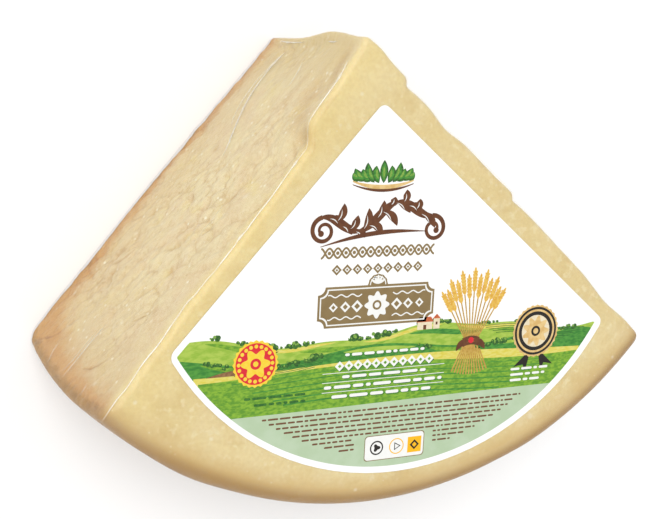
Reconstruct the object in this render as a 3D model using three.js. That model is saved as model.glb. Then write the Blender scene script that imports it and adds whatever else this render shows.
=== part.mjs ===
// A chunk of parmesan: an eighth of a wheel, split by hand and vacuum packed in tight clear film, with a
// sector-shaped label stuck on its flat cut top. It lies on the wheel's flat rind. Millimetres, +Z up; the
// plan is drawn round the wheel's axis, with the tip towards +Y, and then moved so that the origin is at the
// centre of the bounding box's underside.
import * as THREE from "three";

// Driving sizes of the wheel and of the chunk
const WHEEL_RADIUS = 198; // at the fattest part of the side rind
const CHUNK_HEIGHT = 126; // half of the wheel's height
const RIND_BULGE = 4.6; // how far the side rind falls back at its two rims
const RIND_FOOT_RADIUS = 8; // rounding from the flat rind to the side rind
const RIND_LIP_RADIUS = 10; // rounding from the side rind to the cut top
const CUT_EDGE_RADIUS = 2; // softening of the split faces' edges
const CORNER_REACH = 3.8; // how far the rounded upright corners reach along each face

// The splits miss the wheel's axis, and lean: where the tip is, and each face's heading from -Y in degrees
const TIP_TOP = [-18.6, 27.5];
const TIP_FOOT = [-10.5, 22.5];
const LEFT_HEADING_TOP = -38.5;
const LEFT_HEADING_FOOT = -43.4;
const RIGHT_HEADING = 45.6;

// The tip is broken: its upright edge bulges two thirds of the way up
const TIP_FULLNESS = 2;
const TIP_BULGE = { up: 83, spread: 25, reach: 6 };

// Left face: a scoop broken out of its top edge, then a chip, a hollow, a knob on the foot, a swollen foot and
// three waves of the top edge, each placed by how far along and how far up its middle is
const SCOOP = { from: 44, full: 56, fading: 58, to: 190, depth: 6.2, tall: 62, spread: 0.7 };
const LEFT_FORMS = [
  { at: [51, 118], spread: [6, 7], height: -1.8 },
  { at: [26, 110], spread: [15, 14], height: -1.8 },
  { at: [65, 2], spread: [4, 6], height: 0.5 },
  { at: [105, 0], spread: [85, 40], height: 1.3 },
  { at: [139, 124], spread: [5, 8], height: 0.6 },
  { at: [160, 124], spread: [9, 9], height: -0.7 },
  { at: [181, 124], spread: [7, 9], height: -0.5 },
];

// Right face: shell-shaped breaks, each swelling up to a lip and then dropping, and soft dips between them
const RIGHT_FULLNESS = 0.5;
const RIGHT_BREAKS = [
  { at: 29, lip: 1.7 },
  { at: 110, lip: 1.4 },
];
const RIGHT_DIPS = [
  { at: 59, spread: 9, depth: 1.7 },
  { at: 191, spread: 13, depth: 1.5 },
];
const BREAK_LEAN = 0.22; // how far a break moves along for each millimetre down
const BREAK_WANDER = 9; // how far a break strays from its straight course, over its pitch of height
const BREAK_PITCH = 31;
const BREAK_TALL = 150; // height over which a break's lip fades to nothing
const BREAK_WIDTH = 4; // of the drop after a lip
const BREAK_RISE = 26; // length over which a lip swells up
const BREAK_RETURN = 9; // length over which the drop evens out

// Number of points along each stretch of the plan outline
const LEFT_POINTS = 72;
const RIGHT_POINTS = 52;
const ARC_POINTS = 38;
const CORNER_POINTS = 3;

// Heights of the rings of points, closer together where the rims are rounded
const FOOT_LEVELS = [0, 0.6, 1.8, 4, 8];
const LIP_DROPS = [10, 6, 3, 1.1, 0];
const MIDDLE_LEVELS = 21;

// Flakes of the split faces: small domes that meet in creases and lean across the face
const FLAKE_LENGTH = 15;
const FLAKE_WIDTH = 10;
const FLAKE_LEAN = -37; // degrees from the level direction
const FLAKE_HEIGHT = 1.6;
const PATCH_SIZE = 36; // size of the rough and smooth patches
const SWELL_SIZE = 48; // size of the broad swells of a split face
const SWELL_HEIGHT = 0.9;
const EDGE_CALM = 12; // height of the quieter bands beside the top and foot edges
const RIM_CALM = 16; // length over which a split face's relief fades out at the rind

// Side rind: shallow dents left by the mould
const RIND_DENT = 0.6;
const RIND_DENT_SIZE = 28;
const RIND_DENT_TALL = 40;

// Label
const LABEL_THICKNESS = 0.3;
const LABEL_TIP = [-10.5, -1.2];
const LABEL_LEFT_HEADING = -45;
const LABEL_RIGHT_HEADING = 47.2;
const LABEL_ARC_CENTRE = [3.4, -44.9];
const LABEL_ARC_RADIUS = 131.9;
const LABEL_CORNER_REACH = 4; // how far its rounded corners reach along each side

// Colours and finish
const CHEESE_FINISH = { color: 0xe8d49c, roughness: 0.42, metalness: 0 };
const LABEL_FINISH = { color: 0xfafaf7, roughness: 0.35, metalness: 0 };

const radians = THREE.MathUtils.degToRad;
const lerp = THREE.MathUtils.lerp;

function smoothstep(low, high, x) {
  return THREE.MathUtils.smoothstep(x, low, high);
}

function bell(x, centre, width) {
  return Math.exp(-(((x - centre) / width) ** 2));
}

// A repeatable number from 0 to 1 for each cell of a lattice.
function hash(i, j, seed) {
  let h = Math.imul(i, 374761393) + Math.imul(j, 668265263) + Math.imul(seed, 362437);
  h = Math.imul(h ^ (h >>> 13), 1274126177);
  return ((h ^ (h >>> 16)) >>> 0) / 4294967296;
}

// Smooth noise from -1 to 1 between the lattice's values.
function noise(x, y, seed) {
  const i = Math.floor(x);
  const j = Math.floor(y);
  const u = (x - i) ** 2 * (3 - 2 * (x - i));
  const v = (y - j) ** 2 * (3 - 2 * (y - j));
  const low = lerp(hash(i, j, seed), hash(i + 1, j, seed), u);
  const high = lerp(hash(i, j + 1, seed), hash(i + 1, j + 1, seed), u);
  return 2 * lerp(low, high, v) - 1;
}

// One domed flake round each jittered point of a leaning lattice, lowest where two flakes meet.
function flakes(along, up, seed) {
  const lean = radians(FLAKE_LEAN);
  const x = (along * Math.cos(lean) + up * Math.sin(lean)) / FLAKE_LENGTH;
  const y = (up * Math.cos(lean) - along * Math.sin(lean)) / FLAKE_WIDTH;
  let nearest = Infinity;
  for (let i = Math.floor(x) - 1; i <= Math.floor(x) + 1; i++) {
    for (let j = Math.floor(y) - 1; j <= Math.floor(y) + 1; j++) {
      const dx = x - (i + 0.1 + 0.8 * hash(i, j, seed));
      const dy = y - (j + 0.1 + 0.8 * hash(i, j, seed + 1));
      nearest = Math.min(nearest, dx ** 2 + dy ** 2);
    }
  }
  return FLAKE_HEIGHT * (0.25 - nearest);
}

// Relief that both split faces share, outward in millimetres: broad swells, and flakes in rough patches.
function splitRelief(along, up, seed) {
  const swell = SWELL_HEIGHT * noise(along / SWELL_SIZE, up / SWELL_SIZE, seed + 10);
  const patch = smoothstep(-0.3, 0.35, noise(along / PATCH_SIZE, up / PATCH_SIZE, seed + 20));
  const calm = smoothstep(0, EDGE_CALM, Math.min(up, CHUNK_HEIGHT - up));
  return (0.2 + 0.8 * calm) * (swell + (0.15 + 0.85 * patch) * flakes(along, up, seed));
}

function leftRelief(along, up) {
  const drop = CHUNK_HEIGHT - up;
  const opening = smoothstep(SCOOP.from, SCOOP.full + SCOOP.spread * drop, along);
  const closing = 1 - smoothstep(SCOOP.fading, SCOOP.to, along);
  const scoop = SCOOP.depth * opening * closing * (1 - smoothstep(0, SCOOP.tall, drop));
  let forms = 0;
  for (const { at, spread, height } of LEFT_FORMS) {
    forms += height * bell(along, at[0], spread[0]) * bell(up, at[1], spread[1]);
  }
  return splitRelief(along, up, 100) + forms - scoop;
}

function rightRelief(along, up) {
  const drop = CHUNK_HEIGHT - up;
  const stray = BREAK_WANDER * (noise(0, drop / BREAK_PITCH, 700) - noise(0, 0, 700));
  const level = along - BREAK_LEAN * drop - stray;
  const fade = 1 - smoothstep(0, BREAK_TALL, drop);
  let shells = 0;
  for (const { at, lip } of RIGHT_BREAKS) {
    const before = Math.exp(-Math.max(0, at - level) / BREAK_RISE);
    const after = Math.exp(-Math.max(0, level - at) / BREAK_RETURN);
    shells += lip * lerp(before, -after, smoothstep(-BREAK_WIDTH / 2, BREAK_WIDTH / 2, level - at));
  }
  for (const { at, spread, depth } of RIGHT_DIPS) shells -= depth * bell(level, at, spread);
  return RIGHT_FULLNESS + fade * shells + splitRelief(along, up, 500);
}

function rindRelief(angle, up) {
  return RIND_DENT * noise((angle * WHEEL_RADIUS) / RIND_DENT_SIZE, up / RIND_DENT_TALL, 900);
}

// How far a rim rounded by a radius has moved in at a distance from the rim's end.
function rounding(distance, radius) {
  if (distance >= radius) return 0;
  return radius - Math.sqrt(radius ** 2 - (radius - distance) ** 2);
}

// Radius of the side rind at a height: a barrel with two rounded rims.
function rindRadius(up) {
  const barrel = WHEEL_RADIUS - RIND_BULGE * ((2 * up) / CHUNK_HEIGHT - 1) ** 2;
  const foot = rounding(up, RIND_FOOT_RADIUS);
  return barrel - foot - rounding(CHUNK_HEIGHT - up, RIND_LIP_RADIUS);
}

// A point in plan at a radius from the wheel's axis, its angle counted from -Y towards +X.
function onWheel(radius, angle) {
  return new THREE.Vector2(radius * Math.sin(angle), -radius * Math.cos(angle));
}

// Where a line from a point, at a heading from -Y, meets the circle round it.
function meetCircle(start, heading, centre, radius) {
  const along = onWheel(1, heading);
  const from = start.clone().sub(centre);
  const half = from.dot(along);
  const reach = -half + Math.sqrt(half ** 2 - from.lengthSq() + radius ** 2);
  return start.clone().addScaledVector(along, reach);
}

// Points of a split face at one height, from one end of its edge to the other, moved out by its relief.
function splitPoints(tip, rim, relief, up, count, side) {
  const edge = new THREE.Vector2().subVectors(rim, tip);
  const length = edge.length();
  const outward = new THREE.Vector2(side * edge.y, -side * edge.x).normalize();
  const points = [];
  for (let i = 0; i < count; i++) {
    const along = lerp(CORNER_REACH, length - CORNER_REACH, i / (count - 1));
    const softened = rounding(Math.min(up, CHUNK_HEIGHT - up), CUT_EDGE_RADIUS);
    const step = relief(along, up) * smoothstep(0, RIM_CALM, length - along) - softened;
    points.push(tip.clone().addScaledVector(edge, along / length).addScaledVector(outward, step));
  }
  return points;
}

function arcPoints(radius, up, from, to) {
  const margin = CORNER_REACH / radius;
  const points = [];
  for (let i = 0; i < ARC_POINTS; i++) {
    const angle = lerp(from + margin, to - margin, i / (ARC_POINTS - 1));
    points.push(onWheel(radius + rindRelief(angle, up), angle));
  }
  return points;
}

// A rounded upright corner between the end of one stretch and the start of the next.
function cornerPoints(from, corner, to) {
  const curve = new THREE.QuadraticBezierCurve(from, corner, to);
  return curve.getPoints(CORNER_POINTS + 1).slice(1, -1);
}

// The whole plan outline at one height, counter-clockwise from the tip: left face, rind, right face.
function outlineAt(up) {
  const share = up / CHUNK_HEIGHT;
  const axis = new THREE.Vector2(0, 0);
  const tip = new THREE.Vector2(...TIP_FOOT).lerp(new THREE.Vector2(...TIP_TOP), share);
  const radius = rindRadius(up);
  const leftHeading = radians(lerp(LEFT_HEADING_FOOT, LEFT_HEADING_TOP, share));
  const leftRim = meetCircle(tip, leftHeading, axis, radius);
  const rightRim = meetCircle(tip, radians(RIGHT_HEADING), axis, radius);
  const leftFace = splitPoints(tip, leftRim, leftRelief, up, LEFT_POINTS, 1);
  const rightFace = splitPoints(tip, rightRim, rightRelief, up, RIGHT_POINTS, -1).reverse();
  const from = Math.atan2(leftRim.x, -leftRim.y);
  const to = Math.atan2(rightRim.x, -rightRim.y);
  const rind = arcPoints(radius, up, from, to);
  const fullness = TIP_FULLNESS + TIP_BULGE.reach * bell(up, TIP_BULGE.up, TIP_BULGE.spread);
  const tipEnd = tip.clone().add(new THREE.Vector2(0, fullness));
  return [
    ...leftFace,
    ...cornerPoints(leftFace.at(-1), leftRim, rind[0]),
    ...rind,
    ...cornerPoints(rind.at(-1), rightRim, rightFace[0]),
    ...rightFace,
    ...cornerPoints(rightFace.at(-1), tipEnd, leftFace[0]),
  ];
}

function levels() {
  const low = FOOT_LEVELS.at(-1);
  const high = CHUNK_HEIGHT - LIP_DROPS[0];
  const middle = [];
  for (let i = 1; i < MIDDLE_LEVELS; i++) middle.push(lerp(low, high, i / MIDDLE_LEVELS));
  return [...FOOT_LEVELS, ...middle, ...LIP_DROPS.map((drop) => CHUNK_HEIGHT - drop)];
}

// Stacked outlines joined by triangles, with a flat cap at the foot and at the cut top.
function chunkGeometry() {
  const heights = levels();
  const rings = heights.map(outlineAt);
  const count = rings[0].length;
  const positions = rings.flatMap((ring, k) => ring.flatMap((p) => [p.x, p.y, heights[k]]));
  const index = [];
  for (let k = 0; k + 1 < rings.length; k++) {
    for (let i = 0; i < count; i++) {
      const a = k * count + i;
      const b = k * count + ((i + 1) % count);
      index.push(a, b, b + count, a, b + count, a + count);
    }
  }
  const top = (rings.length - 1) * count;
  for (const [a, b, c] of THREE.ShapeUtils.triangulateShape(rings[0], [])) index.push(a, c, b);
  for (const [a, b, c] of THREE.ShapeUtils.triangulateShape(rings.at(-1), [])) {
    index.push(top + a, top + b, top + c);
  }
  const geometry = new THREE.BufferGeometry();
  geometry.setAttribute("position", new THREE.Float32BufferAttribute(positions, 3));
  geometry.setIndex(index);
  geometry.computeVertexNormals();
  return geometry;
}

function labelGeometry() {
  const tip = new THREE.Vector2(...LABEL_TIP);
  const centre = new THREE.Vector2(...LABEL_ARC_CENTRE);
  const left = meetCircle(tip, radians(LABEL_LEFT_HEADING), centre, LABEL_ARC_RADIUS);
  const right = meetCircle(tip, radians(LABEL_RIGHT_HEADING), centre, LABEL_ARC_RADIUS);
  const towards = (from, to) => from.clone().add(to.clone().sub(from).setLength(LABEL_CORNER_REACH));
  const bend = LABEL_CORNER_REACH / LABEL_ARC_RADIUS;
  const start = left.clone().sub(centre).angle() + bend;
  const end = right.clone().sub(centre).angle() - bend;
  const onArc = (angle) => centre.clone().add(onWheel(LABEL_ARC_RADIUS, angle + Math.PI / 2));
  const shape = new THREE.Shape();
  shape.moveTo(...towards(tip, left));
  shape.lineTo(...towards(left, tip));
  shape.quadraticCurveTo(...left, ...onArc(start));
  shape.absarc(...centre, LABEL_ARC_RADIUS, start, end, false);
  shape.quadraticCurveTo(...right, ...towards(right, tip));
  shape.lineTo(...towards(tip, right));
  shape.quadraticCurveTo(...tip, ...towards(tip, left));
  return new THREE.ExtrudeGeometry(shape, { depth: LABEL_THICKNESS, bevelEnabled: false, curveSegments: 16 });
}

function named(name, geometry, finish, height) {
  const mesh = new THREE.Mesh(geometry, new THREE.MeshStandardMaterial(finish));
  mesh.name = name;
  mesh.position.z = height;
  return mesh;
}

const plan = new THREE.Group();
plan.add(named("parmesan_chunk", chunkGeometry(), CHEESE_FINISH, 0));
plan.add(named("label", labelGeometry(), LABEL_FINISH, CHUNK_HEIGHT));

// Moves the wheel-centred plan so that the box's centre lies over the origin.
const middle = new THREE.Box3().setFromObject(plan).getCenter(new THREE.Vector3());
plan.position.set(-middle.x, -middle.y, 0);

const chunk = new THREE.Group();
chunk.add(plan);

export default chunk;
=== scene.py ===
"""A chunk of parmesan: an eighth of a wheel, split by hand, in tight clear film, with a printed label.

The chunk lies on the wheel's flat rind. Shapes are worked out in millimetres round the wheel's axis, +Z up
and the chunk's tip towards +Y, and every mesh is then moved to the frame's origin and turned into metres.
"""

import logging
import math
from collections.abc import Iterator, Sequence
from dataclasses import dataclass, field
from enum import Enum
from functools import reduce

import bpy
import numpy as np
import numpy.typing as npt
from mathutils import Matrix, Vector


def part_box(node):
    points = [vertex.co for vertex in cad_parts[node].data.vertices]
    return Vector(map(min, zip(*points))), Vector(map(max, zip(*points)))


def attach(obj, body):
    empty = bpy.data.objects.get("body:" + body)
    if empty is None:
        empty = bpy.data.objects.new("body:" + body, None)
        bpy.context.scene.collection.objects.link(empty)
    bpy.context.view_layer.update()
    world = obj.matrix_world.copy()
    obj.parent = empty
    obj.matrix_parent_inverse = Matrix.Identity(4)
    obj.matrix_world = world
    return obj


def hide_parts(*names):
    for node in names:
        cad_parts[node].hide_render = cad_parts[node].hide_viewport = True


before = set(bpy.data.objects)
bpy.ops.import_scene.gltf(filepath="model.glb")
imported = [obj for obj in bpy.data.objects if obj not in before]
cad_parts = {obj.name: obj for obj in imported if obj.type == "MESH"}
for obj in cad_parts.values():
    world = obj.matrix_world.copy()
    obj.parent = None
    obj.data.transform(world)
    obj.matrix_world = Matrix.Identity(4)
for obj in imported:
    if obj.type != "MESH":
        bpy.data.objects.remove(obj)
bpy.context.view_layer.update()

METRES = 0.001
LIGHT_LEVEL = 1.15
BODY = "root"

log = logging.getLogger("parmesan")

Array = npt.NDArray[np.float64]
Colour = tuple[float, float, float]
Pair = tuple[float, float]
Socket = bpy.types.NodeSocket


class Skin(Enum):
    """Which surface of the pack a form is asked for."""

    CHEESE = "cheese"
    FILM = "film"


class Side(Enum):
    """The two split faces, by the sign of X that they face."""

    LEFT = -1
    RIGHT = 1

    def outward(self, along: Array) -> Array:
        """Plan directions away from the face, a right angle from the unit directions along it."""
        return self.value * np.stack([-along[:, 1], along[:, 0]], axis=-1)


def srgb(red: int, green: int, blue: int) -> Colour:
    """Turns a colour as it should look on a level surface, of 0 to 255 parts, into what its shader takes.

    The studio lights a level surface a little above plain white, so the linear values are taken down by that.

    Args:
        red: Red part.
        green: Green part.
        blue: Blue part.

    Returns:
        Linear red, green and blue.
    """
    parts = np.array([red, green, blue]) / 255
    linear = np.where(parts <= 0.04045, parts / 12.92, ((parts + 0.055) / 1.055) ** 2.4)
    return tuple(float(part) for part in linear / LIGHT_LEVEL)


def smoothstep(low: float | Array, high: float | Array, x: Array) -> Array:
    """An S-shaped rise from 0 at low to 1 at high: 3 t squared less 2 t cubed."""
    t = np.clip((x - low) / (high - low), 0.0, 1.0)
    return t * t * (3 - 2 * t)


def bell(x: Array, centre: float, spread: float) -> Array:
    """A bump of height 1: e to the minus square of the distance over the spread."""
    return np.exp(-(((x - centre) / spread) ** 2))


def lattice_hash(i: Array, j: Array, seed: int) -> Array:
    """A repeatable number for each cell of a lattice: 32-bit products, mixed by shifts and exclusive ors.

    Args:
        i: Cell numbers along the first axis.
        j: Cell numbers along the second axis.
        seed: Which field of numbers.

    Returns:
        Values from 0 to 1.
    """
    word = 0xFFFFFFFF
    mixed = (i.astype(np.int64) * 374761393 + j.astype(np.int64) * 668265263 + seed * 362437) & word
    mixed = ((mixed ^ (mixed >> 13)) * 1274126177) & word
    return (mixed ^ (mixed >> 16)) / 4294967296.0


def noise(x: Array, y: Array, seed: int) -> Array:
    """Smooth noise: the lattice's numbers blended by the S-curve along both axes.

    Args:
        x: First coordinate, in cells.
        y: Second coordinate, in cells.
        seed: Which field of numbers.

    Returns:
        Values from -1 to 1.
    """
    x, y = np.broadcast_arrays(np.asarray(x, float), np.asarray(y, float))
    i, j = np.floor(x), np.floor(y)
    u, v = smoothstep(0.0, 1.0, x - i), smoothstep(0.0, 1.0, y - j)
    low = lattice_hash(i, j, seed) * (1 - u) + lattice_hash(i + 1, j, seed) * u
    high = lattice_hash(i, j + 1, seed) * (1 - u) + lattice_hash(i + 1, j + 1, seed) * u
    return 2 * (low * (1 - v) + high * v) - 1


def rounding(distance: Array, radius: float) -> Array:
    """How far a rim rounded by a radius has moved in, at a distance from the rim's end: a quarter circle."""
    inside = np.clip(radius - distance, 0.0, radius)
    return radius - np.sqrt(radius**2 - inside**2)


def on_wheel(radius: float | Array, angle: float | Array) -> Array:
    """A plan point at a radius from the wheel's axis, its angle counted from -Y towards +X."""
    return np.stack([radius * np.sin(angle), -radius * np.cos(angle)], axis=-1)


def meet_circle(start: Array, heading: float | Array, centre: Array, radius: float | Array) -> Array:
    """Where a line from a point inside a circle meets it: the positive root of the line's quadratic.

    Args:
        start: Plan points, two numbers each.
        heading: Direction of each line, from -Y towards +X, in radians.
        centre: The circle's centre.
        radius: The circle's radius.

    Returns:
        Plan points on the circle.
    """
    along = on_wheel(1.0, heading)
    offset = start - centre
    half = np.sum(offset * along, axis=-1)
    reach = -half + np.sqrt(half**2 - np.sum(offset**2, axis=-1) + radius**2)
    return start + along * np.asarray(reach)[..., None]


def bezier(start: Array, control: Array, end: Array, count: int, ends: bool = False) -> Array:
    """Points of a quadratic curve: the square-law blend of two ends and a control point.

    Args:
        start: Start points.
        control: Control points.
        end: End points.
        count: Number of points between the ends.
        ends: Whether the two ends are given too.

    Returns:
        The points, with the count as the last axis but one.
    """
    share = np.linspace(0, 1, count + 2)[:, None]
    share = share if ends else share[1:-1]
    start, control, end = (np.expand_dims(p, -2) for p in (start, control, end))
    return (1 - share) ** 2 * start + 2 * share * (1 - share) * control + share**2 * end


@dataclass
class MeshDraft:
    """Points, faces and point attributes that become one mesh object.

    Attributes:
        points: Points in millimetres, three numbers each.
        faces: Lists of faces, each array with one row of point numbers a face.
        attributes: Named values, one a point.
    """

    points: Array
    faces: list[npt.NDArray[np.int64]]
    attributes: dict[str, Array] = field(default_factory=dict)

    def joined(self, other: "MeshDraft") -> "MeshDraft":
        """This draft and another as one, the other's point numbers moved past this one's."""
        moved = [face + len(self.points) for face in other.faces]
        return MeshDraft(np.concatenate([self.points, other.points]), self.faces + moved)

    def to_object(self, name: str, shift: Array, smooth: bool) -> bpy.types.Object:
        """Builds the mesh object at the origin, with its place in its mesh.

        Args:
            name: The piece's name.
            shift: Plan move from the wheel's axis to the frame's origin, in millimetres.
            smooth: Whether its faces are shaded smooth.

        Returns:
            The new object, linked to the scene.
        """
        mesh = bpy.data.meshes.new(name)
        placed = (self.points + np.array([shift[0], shift[1], 0.0])) * METRES
        faces = [row for group in self.faces for row in group.tolist()]
        mesh.from_pydata(placed.tolist(), [], faces)
        for key, values in self.attributes.items():
            layer = mesh.attributes.new(key, "FLOAT", "POINT")
            layer.data.foreach_set("value", values.astype(np.float32))
        mesh.polygons.foreach_set("use_smooth", np.full(len(mesh.polygons), smooth))
        mesh.update()
        piece = bpy.data.objects.new(name, mesh)
        bpy.context.scene.collection.objects.link(piece)
        return piece


def grid_faces(rows: int, columns: int, closed: bool, start: int = 0) -> npt.NDArray[np.int64]:
    """Faces of a grid whose rows go up and whose columns run counter-clockwise, seen from above.

    Args:
        rows: Number of rows.
        columns: Number of columns.
        closed: Whether the last column joins the first.
        start: Number of the grid's first point.

    Returns:
        One row of four point numbers a face, facing out.
    """
    last = columns if closed else columns - 1
    row, column = np.meshgrid(np.arange(rows - 1), np.arange(last), indexing="ij")
    here = row * columns + column
    beside = row * columns + (column + 1) % columns
    quads = np.stack([here, beside, beside + columns, here + columns], axis=-1)
    return quads.reshape(-1, 4) + start


def closed_rows(rows: Array, start: Array, end: Array) -> MeshDraft:
    """A closed surface: rows of points joined into a grid that meets itself, and a pole at each end.

    Args:
        rows: Points by row and column; columns turn counter-clockwise, seen from where the rows lead.
        start: The pole before the first row.
        end: The pole after the last row.

    Returns:
        The draft, its two poles last.
    """
    count, columns = rows.shape[:2]
    points = np.concatenate([rows.reshape(-1, 3), start[None], end[None]])
    here = np.arange(columns)
    beside = (here + 1) % columns
    last = (count - 1) * columns
    first_pole = np.full(columns, count * columns)
    first = np.stack([first_pole, beside, here], axis=-1)
    final = np.stack([last + here, last + beside, first_pole + 1], axis=-1)
    return MeshDraft(points, [grid_faces(count, columns, True), first, final])


@dataclass(frozen=True)
class Mark:
    """A swelling or dent of a split face: where its middle is, how far it spreads, and its height outward."""

    at: Pair
    spread: Pair
    height: float

    def share(self, along: Array, up: Array) -> Array:
        """How much of its height the mark has at each place, from 0 to 1: a bell along by a bell up."""
        return bell(along, self.at[0], self.spread[0]) * bell(up, self.at[1], self.spread[1])


@dataclass(frozen=True)
class Flakes:
    """Sizes of the flakes that a split face breaks into, in millimetres."""

    length: float
    width: float
    lean: float
    depth: float
    seed: int


@dataclass(frozen=True)
class FlakeForm:
    """The form that all flakes share, in lengths and widths of a flake and shares of their depth.

    Attributes:
        tilt: How much higher a flake stands towards its lower edge.
        across: How fast it falls off along its length, and back along its width.
        lip: Where its lower edge starts to drop, and drop how steeply.
        least: Height of the lowest flakes' middles; the highest ones' is 1.
        crest: Height above which nothing stands, and pale_from that above which a painted highlight on the
            crest starts.
        crease: Height between two flakes within which painted shade darkens their crease.
        crease_start: How far from a flake's middle line the painted shade in its crease is full.
        crease_floor: Heights between which a crease's painted shade fades, because it lies on a crest.
        margin: Least way from a flake's middle to its cell's edge, and jitter the width that it may lie in.
        bend: How far the lattice bends, and over how many millimetres, and sway the same for its rows.
        gap_size: Millimetres over which creases break off.
    """

    tilt: float = 0.5
    across: float = 0.9
    back: float = 0.45
    lip: float = 0.3
    drop: float = 7.0
    least: float = 0.35
    crest: float = 1.1
    pale_from: float = 0.5
    crease: float = 0.4
    crease_start: float = 0.35
    crease_floor: Pair = (0.35, 0.8)
    margin: float = 0.1
    jitter: float = 0.8
    bend: Pair = (2.6, 17.0)
    sway: Pair = (5.0, 40.0)
    gap_size: float = 6.0


@dataclass(frozen=True)
class Streaks:
    """Leaning streaks of painted shade and highlight on the left face by the tip, in degrees and millimetres.

    Attributes:
        middle: Where along they are strongest, and how far they spread.
        rise: Heights between which they start.
        sizes: Length and width of the noise that draws the broad ones; fine_sizes draw the fine ones.
        edge: Values of the noise between which a streak fades in.
    """

    lean: float = -14.0
    middle: Pair = (28.0, 32.0)
    rise: Pair = (45.0, 85.0)
    sizes: Pair = (24.0, 6.0)
    fine_sizes: Pair = (11.0, 3.0)
    fine_share: float = 0.5
    edge: Pair = (0.1, 0.7)
    # Strength of the streaks' painted shade.
    dark: float = 0.4

    def tones(self, along: Array, up: Array) -> tuple[Array, Array]:
        """Stretched noise of two sizes on turned axes, faded by a bell along and an S-curve up.

        Args:
            along: Millimetres from the tip.
            up: Millimetres above the foot.

        Returns:
            Painted shade and painted highlight, from 0 to 1.
        """
        near = bell(along, *self.middle) * smoothstep(*self.rise, up)
        lean = math.radians(self.lean)
        run = along * math.cos(lean) + up * math.sin(lean)
        rise = up * math.cos(lean) - along * math.sin(lean)
        fine = noise(run / self.fine_sizes[0], rise / self.fine_sizes[1], 66)
        streak = noise(run / self.sizes[0], rise / self.sizes[1], 60) + self.fine_share * fine
        return self.dark * near * smoothstep(*self.edge, -streak), near * smoothstep(*self.edge, streak)


@dataclass(frozen=True)
class Ledge:
    """A short step where a thick flake has come off, in millimetres along and up, between its two ends.

    Attributes:
        reach: How far under its line it takes to even out.
        bow: How far the line bows, as a share of its length.
        wobble: How far the line strays, over wobble_size.
        shade: Where its painted dark line of shade lies under the step, and how far that spreads.
        taper: Power of the sine by which the step fades towards its ends.
    """

    start: Pair
    end: Pair
    depth: float = 0.9
    reach: float = 5.0
    bow: float = 0.12
    wobble: float = 0.7
    wobble_size: float = 3.0
    shade: Pair = (0.4, 0.8)
    taper: float = 0.6

    def step(self, along: Array, up: Array) -> tuple[Array, Array]:
        """Depth of the step, and the painted shade under it: full under its bowed line, and less by e to the
        minus distance.

        Args:
            along: Millimetres from the tip.
            up: Millimetres above the foot.

        Returns:
            Depth in millimetres, and painted shade from 0 to 1.
        """
        run = np.array(self.end, float) - np.array(self.start, float)
        length = float(np.linalg.norm(run))
        across = np.array([-run[1], run[0]]) / length * (-1 if run[0] > 0 else 1)
        x, y = along - self.start[0], up - self.start[1]
        share = (x * run[0] + y * run[1]) / length**2
        bow = self.bow * length * (4 * share * (1 - share))
        stray = self.wobble * noise(along / self.wobble_size, up / self.wobble_size, 77)
        below = x * across[0] + y * across[1] + bow + stray
        middle = np.sin(math.pi * np.clip(share, 0, 1)) ** self.taper
        sunk = smoothstep(-0.5, 0.5, below) * np.exp(-np.maximum(below, 0) / self.reach)
        return self.depth * sunk * middle, bell(below, *self.shade) * middle


@dataclass(frozen=True)
class Grid:
    """How finely a closed form is divided: points on each stretch of its outline, rows, and caps' rings."""

    left: int
    rind: int
    right: int
    corner: int
    middle: int
    rim: int
    top_rings: int
    foot_rings: int


@dataclass(frozen=True)
class Zones:
    """Where the cheese changes its tone, in millimetres; each spread is a bell's.

    Attributes:
        cut_top: Depths under the cut top at which its tone starts and is full.
        zone_rise: How much faster the zone under the rind ends upward than inward, skin_rise the rind.
        spared: How much thinner both are at the left face's top corner, and the spread of that.
        toasted: How much thicker the zone is at its foot corner, and the spreads in plan and up.
        tip_side: How far right of the tip's top the crown and the longer reach of the painted edge highlight
            are centred.
        ridge_highlight: How far in from the left top edge the painted highlight along that edge spreads.
        ridge_dull: Share by which that painted highlight is weaker on the edge itself, where that is, and its
            spread.
        ridge_drop: How far the painted highlight reaches down, how much further by the tip, and the spread of
            that.
        crown: Spreads of the crown round the tip's top, in plan and down.
    """

    cut_top: Pair = (11.0, 1.0)
    zone_rise: float = 1.25
    skin_rise: float = 1.7
    spared: Pair = (4.0, 42.0)
    toasted: tuple[float, float, float] = (4.5, 32.0, 30.0)
    foot_spread: float = 30.0
    tip_side: float = 8.0
    ridge_highlight: float = 16.0
    ridge_dull: tuple[float, float, float] = (0.5, 1.0, 2.5)
    ridge_drop: tuple[float, float, float] = (6.0, 5.0, 32.0)
    crown: Pair = (30.0, 6.0)


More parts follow.
